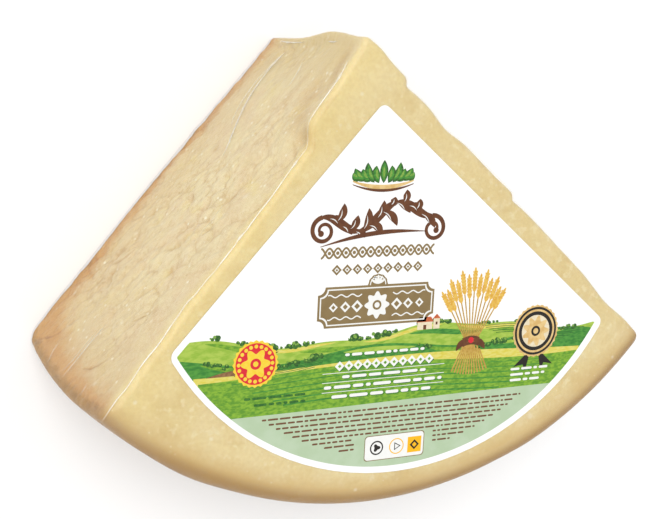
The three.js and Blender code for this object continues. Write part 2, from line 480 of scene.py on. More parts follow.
@dataclass(frozen=True)
class Wedge:
    """The chunk's outer form: a sector of a wheel between two leaning split faces, in millimetres.

    Along counts from the tip to the rind on a split face, up from the flat rind, drop down from the cut top.
    """

    radius: float = 198.0
    height: float = 126.0
    bulge: float = 4.6
    foot_radius: float = 8.0
    lip_radius: float = 10.0
    cut_edge_radius: float = 2.0
    soft_edge_radius: float = 3.4
    corner_reach: float = 3.8
    middle: Pair = (-2.0, -60.0)
    tip_top: Pair = (-18.6, 27.5)
    tip_foot: Pair = (-10.5, 22.5)
    left_heading: Pair = (-43.4, -38.5)
    right_heading: float = 45.6
    tip_fullness: float = 2.0
    tip_bulge: Mark = Mark((0, 83), (1, 25), 6.0)
    scoop_along: tuple[float, float, float, float] = (44, 56, 58, 190)
    scoop_depth: float = 6.2
    scoop_tall: float = 62.0
    scoop_spread: float = 0.7
    left_marks: tuple[Mark, ...] = (
        Mark((51, 118), (6, 7), -1.8), Mark((26, 110), (15, 14), -1.8), Mark((65, 2), (4, 6), 0.5),
        Mark((105, 0), (85, 40), 1.3), Mark((139, 124), (5, 8), 0.6), Mark((160, 124), (9, 9), -0.7),
        Mark((181, 124), (7, 9), -0.5),
    )
    left_pits: tuple[Mark, ...] = (
        Mark((50, 119), (4.5, 8.0), 1.3), Mark((43, 110), (8.0, 7.0), 0.4),
        Mark((15, 113.5), (11.0, 5.0), 0.5), Mark((33, 105), (12.0, 7.0), 0.4),
        Mark((120, 79), (1.8, 2.6), 0.9), Mark((70, 44), (2.0, 3.0), 0.5),
        Mark((150, 101), (2.2, 2.4), 0.5),
    )
    left_ledges: tuple[Ledge, ...] = (
        Ledge((198, 10), (180, 32), 1.3, 7.0), Ledge((191, 76), (179, 93), 1.1, 6.0),
        Ledge((105, 64), (95, 54)), Ledge((92, 91), (81, 97)), Ledge((115, 72), (106, 79), 0.7, 4.0),
        Ledge((92, 117), (80, 123), 0.7, 4.0), Ledge((146, 28), (132, 41), 0.8, 5.0),
        Ledge((160, 88), (150, 98), 0.8, 4.0),
    )
    right_ledges: tuple[Ledge, ...] = (
        Ledge((60, 38), (44, 55), 1.0, 6.0), Ledge((120, 98), (108, 110)),
        Ledge((160, 22), (146, 36), 1.1, 6.0), Ledge((182, 74), (172, 88)),
        Ledge((96, 60), (86, 66), 0.7, 4.0),
    )
    right_fullness: float = 0.5
    right_swell: Mark = Mark((9, 126), (8, 40), 1.2)
    right_breaks: tuple[Pair, ...] = ((29, 1.7), (110, 1.4))
    right_dips: tuple[tuple[float, float, float], ...] = ((59, 9, 1.7), (191, 13, 1.5))
    break_lean: float = 0.22
    break_wander: float = 9.0
    break_pitch: float = 31.0
    break_tall: float = 150.0
    break_width: float = 4.0
    break_rise: float = 26.0
    break_return: float = 9.0
    patch_size: float = 27.0
    swell_size: float = 48.0
    swell_height: float = 0.9
    edge_calm: float = 12.0
    rim_calm: float = 16.0
    rind_dent: float = 0.6
    rind_dent_size: float = 28.0
    rind_dent_tall: float = 40.0
    flake_sets: tuple[Flakes, ...] = (
        Flakes(9.0, 7.6, -37.0, 1.5, 140), Flakes(5.0, 3.9, -30.0, 0.75, 160),
    )
    flake_form: FlakeForm = FlakeForm()
    least_flaking: float = 0.2
    edge_flaking: float = 0.15
    streaks: Streaks = Streaks()
    # Strengths of the painted shade under ledges and in pits.
    ledge_shade: float = 1.5
    pit_shade: float = 0.9
    cap_passes: int = 24
    cap_start: float = 0.997
    cap_sag: float = 0.2
    cap_sag_width: float = 9.0
    zones: Zones = Zones()

    def barrel(self, up: Array) -> Array:
        """Radius of the side rind before its rims are rounded: it falls back as the square of the height."""
        return self.radius - self.bulge * (2 * up / self.height - 1) ** 2

    def rind_radius(self, up: Array) -> Array:
        """Radius of the side rind: the barrel less its two rounded rims."""
        rims = rounding(up, self.foot_radius) + rounding(self.height - up, self.lip_radius)
        return self.barrel(up) - rims

    def tip(self, up: Array) -> Array:
        """Plan point of the tip: a straight line between its place at the foot and at the top."""
        share = (np.asarray(up) / self.height)[..., None]
        return np.array(self.tip_foot) * (1 - share) + np.array(self.tip_top) * share

    def heading(self, side: Side, up: Array) -> Array:
        """Heading of a split face in radians, which turns evenly from its foot to its top."""
        foot, top = self.left_heading if side is Side.LEFT else (self.right_heading, self.right_heading)
        return np.radians(foot + (top - foot) * np.asarray(up) / self.height)

    def corner(self, side: Side, up: Array, radius: float | Array) -> Array:
        """Plan point where a split face meets a circle round the wheel's axis."""
        return meet_circle(self.tip(up), self.heading(side, up), np.zeros(2), radius)

    def edge_rounding(self, up: Array, radius: float) -> Array:
        """How far a face has moved in at its rounded top and foot edges."""
        return rounding(np.minimum(up, self.height - up), radius)

    def patches(self, along: Array, up: Array, seed: int) -> Array:
        """Where a split face is rough, from 0 to 1: slow noise with its middle stretched."""
        return smoothstep(-0.6, 0.3, noise(along / self.patch_size, up / self.patch_size, seed + 20))

    def split_relief(self, along: Array, up: Array, seed: int) -> Array:
        """Broad swells that both split faces share, outward: slow noise, quieter beside the edges."""
        calm = 0.2 + 0.8 * smoothstep(0.0, self.edge_calm, np.minimum(up, self.height - up))
        return calm * (self.swell_height * noise(along / self.swell_size, up / self.swell_size, seed + 10))

    def relief(self, side: Side, along: Array, up: Array) -> Array:
        """Outward relief of a split face, in millimetres."""
        return self.left_relief(along, up) if side is Side.LEFT else self.right_relief(along, up)

    def left_relief(self, along: Array, up: Array) -> Array:
        """Left face: swells, less a scoop out of the top edge, and its marks as bells.

        Args:
            along: Millimetres from the tip.
            up: Millimetres above the foot.

        Returns:
            Outward relief in millimetres.
        """
        drop = self.height - up
        start, full, fading, end = self.scoop_along
        opening = smoothstep(start, full + self.scoop_spread * drop, along)
        scoop = opening * (1 - smoothstep(fading, end, along)) * (1 - smoothstep(0.0, self.scoop_tall, drop))
        relief = self.split_relief(along, up, 100) - self.scoop_depth * scoop
        for mark in self.left_marks:
            relief = relief + mark.height * mark.share(along, up)
        return relief

    def right_relief(self, along: Array, up: Array) -> Array:
        """Right face: shells that swell to a lip and drop on a wandering line, and a swell and dips as bells.

        Args:
            along: Millimetres from the tip.
            up: Millimetres above the foot.

        Returns:
            Outward relief in millimetres.
        """
        drop = self.height - up
        stray = noise(0.0, drop / self.break_pitch, 700) - noise(0.0, 0.0, 700)
        level = along - self.break_lean * drop - self.break_wander * stray
        shells = np.zeros(np.shape(level))
        for place, lip in self.right_breaks:
            before = np.exp(-np.maximum(0, place - level) / self.break_rise)
            after = np.exp(-np.maximum(0, level - place) / self.break_return)
            past = smoothstep(-self.break_width / 2, self.break_width / 2, level - place)
            shells = shells + lip * (before * (1 - past) - after * past)
        for place, spread, depth in self.right_dips:
            shells = shells - depth * bell(level, place, spread)
        fade = 1 - smoothstep(0.0, self.break_tall, drop)
        swell = self.right_swell.height * self.right_swell.share(along, up)
        return self.right_fullness + fade * shells + swell + self.split_relief(along, up, 500)

    def flake_field(self, along: Array, up: Array, flakes: Flakes) -> tuple[Array, Array, Array]:
        """Domes that lap like shingles: the highest of the tilted caps set round a jittered, leaning lattice.

        A cap falls off as the square of the distance from its centre, stands higher towards its lower edge,
        and drops steeply past it, so that each edge stands over the flake below it.

        Args:
            along: Millimetres from the tip.
            up: Millimetres above the foot.
            flakes: The flakes' sizes.

        Returns:
            Depth below the crests in millimetres, painted shade in the creases and painted highlight on the
            crests, both from 0 to 1.
        """
        form = self.flake_form
        lean = math.radians(flakes.lean)
        bend = form.bend[0] * noise(along / form.bend[1], up / form.bend[1], flakes.seed + 5)
        sway = form.sway[0] * noise(along / form.sway[1], up / form.sway[1], flakes.seed + 6)
        x = (along * math.cos(lean) + up * math.sin(lean) + bend) / flakes.length
        y = (up * math.cos(lean) - along * math.sin(lean) + bend + sway) / flakes.width
        best = np.full(x.shape, -np.inf)
        second = np.full(x.shape, -np.inf)
        offset = np.zeros(x.shape)
        for di in (-1, 0, 1):
            for dj in (-1, 0, 1):
                i, j = np.floor(x) + di, np.floor(y) + dj
                dx = x - (i + form.margin + form.jitter * lattice_hash(i, j, flakes.seed))
                dy = y - (j + form.margin + form.jitter * lattice_hash(i, j, flakes.seed + 1))
                tall = form.least + (1 - form.least) * lattice_hash(i, j, flakes.seed + 2)
                past = np.maximum(0, -dy - form.lip)
                cap = tall - form.tilt * dy - form.across * dx**2 - form.back * dy**2 - form.drop * past**2
                higher = cap > best
                second = np.where(higher, best, np.maximum(second, cap))
                offset = np.where(higher, np.abs(dy), offset)
                best = np.where(higher, cap, best)
        # Painted shade in the crease where one flake drops onto the next.
        crease = 1 - smoothstep(0.0, form.crease, best - second)
        crease = crease * smoothstep(0.0, form.crease_start, offset)
        broken = smoothstep(-0.6, 0.2, noise(along / form.gap_size, up / form.gap_size, flakes.seed + 8))
        crease = crease * (1 - smoothstep(*form.crease_floor, best)) * broken
        depth = flakes.depth * np.clip(form.crest - best, 0, 1.2)
        # The last value, paler near the top of each cap, is a painted highlight on the crest.
        return depth, crease, smoothstep(form.pale_from, form.crest, best)

    def flake_depth(self, side: Side, along: Array, up: Array) -> tuple[Array, Array, Array]:
        """Flakes laid over one another, strongest in the rough patches, then streaks, ledges and pits.

        Args:
            side: Which split face.
            along: Millimetres from the tip.
            up: Millimetres above the foot.

        Returns:
            Depth below the film in millimetres, painted shade in creases and painted highlight on crests,
            both from 0 to 1.
        """
        left = side is Side.LEFT
        seed = 100 if left else 500
        patch = self.patches(along, up, seed)
        calm = smoothstep(0.5, self.edge_calm, self.height - up) * smoothstep(0.0, 4.0, up)
        depth, crease, crest = (np.zeros(np.shape(along)) for _ in range(3))
        for number, flakes in enumerate(self.flake_sets):
            own = Flakes(flakes.length, flakes.width, flakes.lean, flakes.depth, flakes.seed + seed)
            low, dark, pale = self.flake_field(along, up, own)
            fine = self.patches(along + 40, up, seed + 7 * (number + 1))
            share = self.least_flaking + (1 - self.least_flaking) * patch * (0.4 + 0.6 * fine)
            share = share * (self.edge_flaking + (1 - self.edge_flaking) * calm)
            depth = depth + share * low
            crease = np.maximum(crease, share * dark)
            crest = np.maximum(crest, share * pale)
        if left:
            # The leaning streaks by the tip add painted shade and painted highlight.
            dark, pale = self.streaks.tones(along, up)
            crease, crest = np.maximum(crease, dark), np.maximum(crest, pale)
        # Ledges and pits sink the face, and paint shade under each step and in each pit.
        for ledge in self.left_ledges if left else self.right_ledges:
            low, dark = ledge.step(along, up)
            depth = depth + low
            crease = np.maximum(crease, self.ledge_shade * dark)
        for pit in self.left_pits if left else ():
            hollow = pit.share(along, up)
            depth = depth + pit.height * hollow
            crease = np.maximum(crease, self.pit_shade * hollow)
        return depth, crease, crest

    def split_points(
        self, side: Side, tip: Array, rim: Array, up: Array, count: int, skin: Skin, inset: float
    ) -> tuple[Array, Array]:
        """Points of a split face: the straight edge at each height, moved out by the face's relief.

        Args:
            side: Which split face.
            tip: Tip of each row.
            rim: Where each row meets the rind's circle.
            up: Height of each row.
            count: Points in a row.
            skin: The cheese, with its flakes, or the film that bridges them.
            inset: How far the surface lies inside the outer form.

        Returns:
            Plan points by row and column, and the painted crease shade and painted crest highlight of each.
        """
        edge = rim - tip
        length = np.linalg.norm(edge, axis=-1)[:, None]
        unit = edge / length
        outward = side.outward(unit)
        share = np.linspace(0, 1, count)[None, :]
        along = self.corner_reach + (length - 2 * self.corner_reach) * share
        height = np.broadcast_to(up[:, None], along.shape)
        step = self.relief(side, along, height) * smoothstep(0.0, self.rim_calm, length - along)
        edge_radius = self.soft_edge_radius if skin is Skin.CHEESE else self.cut_edge_radius
        step = step - self.edge_rounding(height, edge_radius) - inset
        tones = np.zeros(along.shape + (2,))
        if skin is Skin.CHEESE:
            depth, crease, crest = self.flake_depth(side, along, height)
            tones = np.stack([crease, crest], axis=-1)
            step = step - depth * smoothstep(0.0, 5.0, length - along) * smoothstep(0.0, 6.0, along)
        points = tip[:, None] + unit[:, None] * along[..., None] + outward[:, None] * step[..., None]
        return points, tones

    def side_rows(self, up: Array, grid: Grid, skin: Skin, inset: float) -> tuple[Array, Array, Array]:
        """Closed plan outlines of the chunk, one for each height, counter-clockwise from the tip.

        Args:
            up: Heights of the rows.
            grid: Points on each stretch of the outline.
            skin: The cheese or its film.
            inset: How far the surface lies inside the outer form.

        Returns:
            Plan points by row and column, painted crease shade and painted crest highlight, and where a split
            face is.
        """
        tip = self.tip(up) - np.array([0.0, inset * math.sqrt(2)])
        radius = self.rind_radius(up) - inset
        axis = np.zeros(2)
        left_rim = meet_circle(tip, self.heading(Side.LEFT, up), axis, radius)
        right_rim = meet_circle(tip, self.heading(Side.RIGHT, up), axis, radius)
        left, left_tones = self.split_points(Side.LEFT, tip, left_rim, up, grid.left, skin, inset)
        right, right_tones = self.split_points(Side.RIGHT, tip, right_rim, up, grid.right, skin, inset)
        right, right_tones = right[:, ::-1], right_tones[:, ::-1]
        start = np.arctan2(left_rim[:, 0], -left_rim[:, 1])[:, None]
        end = np.arctan2(right_rim[:, 0], -right_rim[:, 1])[:, None]
        margin = self.corner_reach / radius[:, None]
        share = np.linspace(0, 1, grid.rind)[None, :]
        angle = (start + margin) * (1 - share) + (end - margin) * share
        dent = noise(angle * self.radius / self.rind_dent_size, up[:, None] / self.rind_dent_tall, 900)
        rind = on_wheel(radius[:, None] + self.rind_dent * dent, angle)
        bulge = self.tip_bulge
        fullness = self.tip_fullness + bulge.height * bell(up, bulge.at[1], bulge.spread[1])
        edge_radius = self.soft_edge_radius if skin is Skin.CHEESE else self.cut_edge_radius
        fullness = fullness - math.sqrt(2) * self.edge_rounding(up, edge_radius)
        tip_end = tip + np.stack([np.zeros_like(up), fullness], axis=-1)
        left_corner = left[:, -1] + self.corner_reach * unit_rows(left_rim - tip)
        right_corner = right[:, 0] + self.corner_reach * unit_rows(right_rim - tip)
        rows = [
            left,
            bezier(left[:, -1], left_corner, rind[:, 0], grid.corner),
            rind,
            bezier(rind[:, -1], right_corner, right[:, 0], grid.corner),
            right,
            bezier(right[:, -1], tip_end, left[:, 0], grid.corner),
        ]
        plain = np.zeros((len(up), grid.corner, 2))
        bare = np.zeros((len(up), grid.rind, 2))
        tones = np.concatenate([left_tones, plain, bare, plain, right_tones, plain], axis=1)
        on_split = np.concatenate(
            [np.ones(grid.left), np.zeros(2 * grid.corner + grid.rind), np.ones(grid.right + grid.corner)]
        )
        return np.concatenate(rows, axis=1), tones, np.broadcast_to(on_split, tones.shape[:2])

    def levels(self, middle: int, rim: int) -> Array:
        """Heights of the rows: even steps of angle round the two rims, and even steps between them.

        Args:
            middle: Rows between the rims.
            rim: Rows round each rim.

        Returns:
            Heights in millimetres, from the foot up.
        """
        turn = 1 - np.cos(np.linspace(0, math.pi / 2, rim))
        foot = self.foot_radius * turn
        lip = self.height - self.lip_radius * turn[::-1]
        between = np.linspace(foot[-1], lip[0], middle + 2)[1:-1]
        return np.concatenate([foot, between, lip])

    def face_point(self, side: Side, along: Array, up: Array, lift: float) -> Array:
        """Points on a split face's film, lifted off it.

        Args:
            side: Which split face.
            along: Millimetres from the tip.
            up: Millimetres above the foot.
            lift: Distance outward from the film.

        Returns:
            Points in millimetres, three numbers each.
        """
        tip = self.tip(up)
        unit = on_wheel(1.0, self.heading(side, up))
        length = np.linalg.norm(self.corner(side, up, self.rind_radius(up)) - tip, axis=-1)
        step = self.relief(side, along, up) * smoothstep(0.0, self.rim_calm, length - along) + lift
        step = step - self.edge_rounding(up, self.cut_edge_radius)
        plan = tip + unit * along[:, None] + side.outward(unit) * step[:, None]
        return np.concatenate([plan, up[:, None]], axis=1)

    def cap(self, rim: Array, count: int, closeness: float) -> Array:
        """Rings of a flat cap: the rim drawn in towards the middle, each smoother than the one outside it.

        Args:
            rim: The rim's points, three numbers each.
            count: Number of rings inside the rim.
            closeness: Power of the rings' spacing; 1 is even. The first ring keeps the rim's shading narrow.

        Returns:
            Points by ring, from the rim inward, and column.
        """
        share = np.append(self.cap_start, 1 - (np.arange(1, count) / count) ** closeness)
        middle = np.array([self.middle[0], self.middle[1], rim[0, 2]])
        rings = [rim]
        for _ in share[1:]:
            ring = rings[-1]
            for _ in range(self.cap_passes):
                ring = (np.roll(ring, 1, axis=0) + 2 * ring + np.roll(ring, -1, axis=0)) / 4
            rings.append(ring)
        return middle + (np.stack(rings) - middle) * share[:, None, None]

    def closed(self, grid: Grid, skin: Skin, inset: float, low: float, high: float) -> MeshDraft:
        """The whole closed surface: cap rings under the foot, side rows, cap rings on the cut top, two poles.

        Args:
            grid: How finely to divide it.
            skin: The cheese or its film.
            inset: How far the sides lie inside the outer form.
            low: Height of the foot.
            high: Height of the cut top.

        Returns:
            The draft, with its attributes.
        """
        up = self.levels(grid.middle, grid.rim)
        plan, tones, on_split = self.side_rows(up, grid, skin, inset)
        level = low + (high - low) * up / self.height
        height = np.broadcast_to(level[:, None, None], plan.shape[:2] + (1,))
        side = np.concatenate([plan, height], axis=2)
        foot = self.cap(side[0], grid.foot_rings, 1.0)[::-1]
        top = self.cap(side[-1], grid.top_rings, 1.35)
        sag = self.cap_sag * (skin is Skin.CHEESE)
        from_rim = np.linalg.norm(top - side[-1][None], axis=-1)
        top[..., 2] -= sag * smoothstep(0.0, self.cap_sag_width, from_rim)
        middle = np.array([self.middle[0], self.middle[1], low])
        rows = np.concatenate([foot, side, top])
        draft = closed_rows(rows, middle, middle + np.array([0, 0, high - low - sag]))
        if skin is Skin.CHEESE:
            caps = (len(foot), len(top))
            self.paint(draft, np.pad(tones, (caps, (0, 0), (0, 0))), np.pad(on_split, (caps, (0, 0))))
        return draft

    def paint(self, draft: MeshDraft, tones: Array, on_split: Array) -> None:
        """Gives the draft the values that its material reads: depths under the rind, bells round edges, and
        where shade and highlight are painted.

        The depth under the rind is the product of the ways to the flat and to the side rind over their sum.

        Args:
            draft: The closed surface, its two poles last.
            tones: Painted crease shade and painted crest highlight, by row and column.
            on_split: 1 on a split face, by row and column.
        """
        zones = self.zones
        x, y, z = draft.points.T
        ends = np.zeros(2)
        cut = smoothstep(self.height - zones.cut_top[0], self.height - zones.cut_top[1], z)
        lift = np.maximum(z, 0.01)
        reach = np.maximum(self.barrel(z) - np.hypot(x, y), 0.01)
        high = self.corner(Side.LEFT, np.array(self.height), self.radius)
        low = self.corner(Side.LEFT, np.array(0.0), self.radius)
        thin, thin_spread = zones.spared
        spare = thin * cut * bell(np.hypot(x - high[0], y - high[1]), 0.0, thin_spread)
        thick, thick_spread, thick_tall = zones.toasted
        toasted = thick * bell(np.hypot(x - low[0], y - low[1]), 0.0, thick_spread) * bell(z, 0.0, thick_tall)
        raised = zones.zone_rise * lift
        edge = on_wheel(1.0, math.radians(self.left_heading[1]))
        inside = (x - self.tip_top[0]) * -edge[1] + (y - self.tip_top[1]) * edge[0]
        from_tip = np.hypot(x - self.tip_top[0] - zones.tip_side, y - self.tip_top[1])
        from_foot = np.hypot(x - self.tip_foot[0], y - self.tip_foot[1])
        drop, longer, longer_spread = zones.ridge_drop
        dull, dull_at, dull_spread = zones.ridge_dull
        pale = bell(np.maximum(inside, 0), 0.0, zones.ridge_highlight) * (1 - dull * bell(inside, dull_at, dull_spread))
        ridge_down = drop + longer * bell(from_tip, 0.0, longer_spread)
        draft.attributes = {
            # Painted shade: in creases between flakes, under ledges, in pits, and the dark streaks by the
            # tip.
            "painted_shade": np.append(tones[..., 0], ends),
            # Painted highlight on the flakes' crests and the pale streaks by the tip.
            "crest": np.append(tones[..., 1], ends),
            "rind_gap": raised * reach / (raised + reach) + spare - toasted,
            "skin_gap": np.minimum(zones.skin_rise * lift, reach) + spare,
            "near_tip": bell(from_foot, 0.0, zones.foot_spread),
            "cut_top": cut,
            "split": np.append(on_split, ends) * (1 - cut),
            # Painted highlight along the rounded top-left edge, reaching further down by the tip.
            "ridge_highlight": pale * bell(self.height - z, 0.0, ridge_down),
            "crown": bell(from_tip, 0.0, zones.crown[0]) * bell(self.height - z, 0.0, zones.crown[1]),
        }


def through(places: Sequence[Pair], count: int) -> Array:
    """The polynomial curve of least degree through all the given places, evenly stepped by chord length.

    Args:
        places: Two or more places.
        count: Number of points.

    Returns:
        Points on the curve, two numbers each.
    """
    knots = np.array(places, float)
    chord = np.concatenate([[0.0], np.cumsum(np.linalg.norm(np.diff(knots, axis=0), axis=1))])
    step = np.linspace(0, chord[-1], count)
    return np.stack([np.polyval(np.polyfit(chord, axis, len(knots) - 1), step) for axis in knots.T], axis=-1)


def unit_rows(vectors: Array) -> Array:
    """Each vector divided by its length."""
    return vectors / np.linalg.norm(vectors, axis=-1, keepdims=True)


def bead(path: Array, lift: Array, half_width: Array, half_height: Array, section: int = 8) -> MeshDraft:
    """A closed bead: an ellipse carried along a path, upright along its lift, and a point at each end.

    Args:
        path: Points of the path, three numbers each.
        lift: Direction away from the surface at each point.
        half_width: Half of the ellipse's width at each point.
        half_height: Half of its height at each point.
        section: Points round the ellipse.

    Returns:
        The draft.
    """
    lift = unit_rows(lift)
    across = unit_rows(np.cross(lift, np.gradient(path, axis=0)))
    turn = np.arange(section) * math.tau / section
    wide = np.cos(turn)[None, :, None] * half_width[:, None, None] * across[:, None]
    high = np.sin(turn)[None, :, None] * half_height[:, None, None] * lift[:, None]
    rows = path[:, None] + wide + high
    return closed_rows(rows[1:-1], path[0], path[-1])


class Shading:
    """Builds one material's nodes, each from its settings and from what feeds it."""

    def __init__(self, name: str) -> None:
        """Starts a material with an empty node tree.

        Args:
            name: The material's name.
        """
        self.material = bpy.data.materials.new(name)
        self.material.use_nodes = True
        self.tree = self.material.node_tree
        self.tree.nodes.clear()
        self.place = self.node("ShaderNodeTexCoord").outputs["Object"]

    def node(self, kind: str, inputs: dict | None = None, **settings: object) -> bpy.types.Node:
        """Adds a node.

        Args:
            kind: The node's type.
            inputs: A socket that feeds an input, or the value set on it, by the input's name or number.
            settings: The node's own properties.

        Returns:
            The node.
        """
        made = self.tree.nodes.new(kind)
        for key, value in settings.items():
            setattr(made, key, value)
        for key, value in (inputs or {}).items():
            if isinstance(value, Socket):
                self.tree.links.new(value, made.inputs[key])
            else:
                made.inputs[key].default_value = value
        return made

    def grain(self, size: float, detail: float = 3.0, stretch: Colour = (1.0, 1.0, 1.0)) -> Socket:
        """Smooth noise.

        Args:
            size: Its size in millimetres.
            detail: How many finer layers lie on it.
            stretch: Scale along each axis; less than 1 draws it out.

        Returns:
            Values from 0 to 1.
        """
        place = self.node("ShaderNodeMapping", {"Vector": self.place, "Scale": stretch}).outputs[0]
        inputs = {"Vector": place, "Scale": 1 / (size * METRES), "Detail": detail}
        return self.node("ShaderNodeTexNoise", inputs).outputs[0]

    def spots(self, size: float) -> bpy.types.Node:
        """A cell texture of a size in millimetres, with each place's distance to its cell's centre."""
        place = self.node("ShaderNodeMapping", {"Vector": self.place}).outputs[0]
        return self.node("ShaderNodeTexVoronoi", {"Vector": place, "Scale": 1 / (size * METRES)})

    def attribute(self, name: str) -> Socket:
        """A value that the mesh holds at its points."""
        return self.node("ShaderNodeAttribute", attribute_name=name).outputs["Fac"]

    def change(self, value: Socket, low: float, high: float, start: float = 0.0, end: float = 1.0) -> Socket:
        """An S-curve from one value to another, while what it reads goes from low to high."""
        inputs = {"Value": value, "From Min": low, "From Max": high, "To Min": start, "To Max": end}
        return self.node("ShaderNodeMapRange", inputs, interpolation_type="SMOOTHSTEP").outputs[0]

    def times(self, first: object, second: object) -> Socket:
        """The product of two values."""
        return self.sum("MULTIPLY", first, second)

    def between(self, share: object, first: object, second: object) -> Socket:
        """A value between two others, by a share."""
        return self.node("ShaderNodeMix", {0: share, 2: first, 3: second}, data_type="FLOAT").outputs[0]

    def sum(self, operation: str, first: object, second: object, third: object = 0.0) -> Socket:
        """A sum of two or three values: ADD, MULTIPLY, MULTIPLY_ADD, MAXIMUM and so on."""
        return self.node("ShaderNodeMath", {0: first, 1: second, 2: third}, operation=operation).outputs[0]

    def mix(self, share: object, first: object, second: object, blend: str = "MIX") -> Socket:
        """Two colours mixed by a share.

        Args:
            share: How much of the second.
            first: A socket or a plain colour.
            second: The same.
            blend: How the second is laid on the first.

        Returns:
            The mixed colour.
        """
        first, second = (c if isinstance(c, Socket) else (*c, 1.0) for c in (first, second))
        inputs = {0: share, 6: first, 7: second}
        return self.node("ShaderNodeMix", inputs, data_type="RGBA", blend_type=blend).outputs[2]

    def bump(self, height: Socket, depth: float, under: object = None) -> Socket:
        """Bumps of a depth in millimetres, over another set of bumps where one is given."""
        below = {} if under is None else {"Normal": under}
        return self.node("ShaderNodeBump", {"Height": height, "Distance": depth * METRES, **below}).outputs[0]

    def surface(self, **inputs: object) -> Socket:
        """A shader whose inputs are given by name, with underscores for spaces."""
        named = {key.replace("_", " "): value for key, value in inputs.items()}
        return self.node("ShaderNodeBsdfPrincipled", named).outputs[0]

    def finished(self, shader: Socket) -> bpy.types.Material:
        """The material, with the shader on its output."""
        self.node("ShaderNodeOutputMaterial", {"Surface": shader})
        return self.material


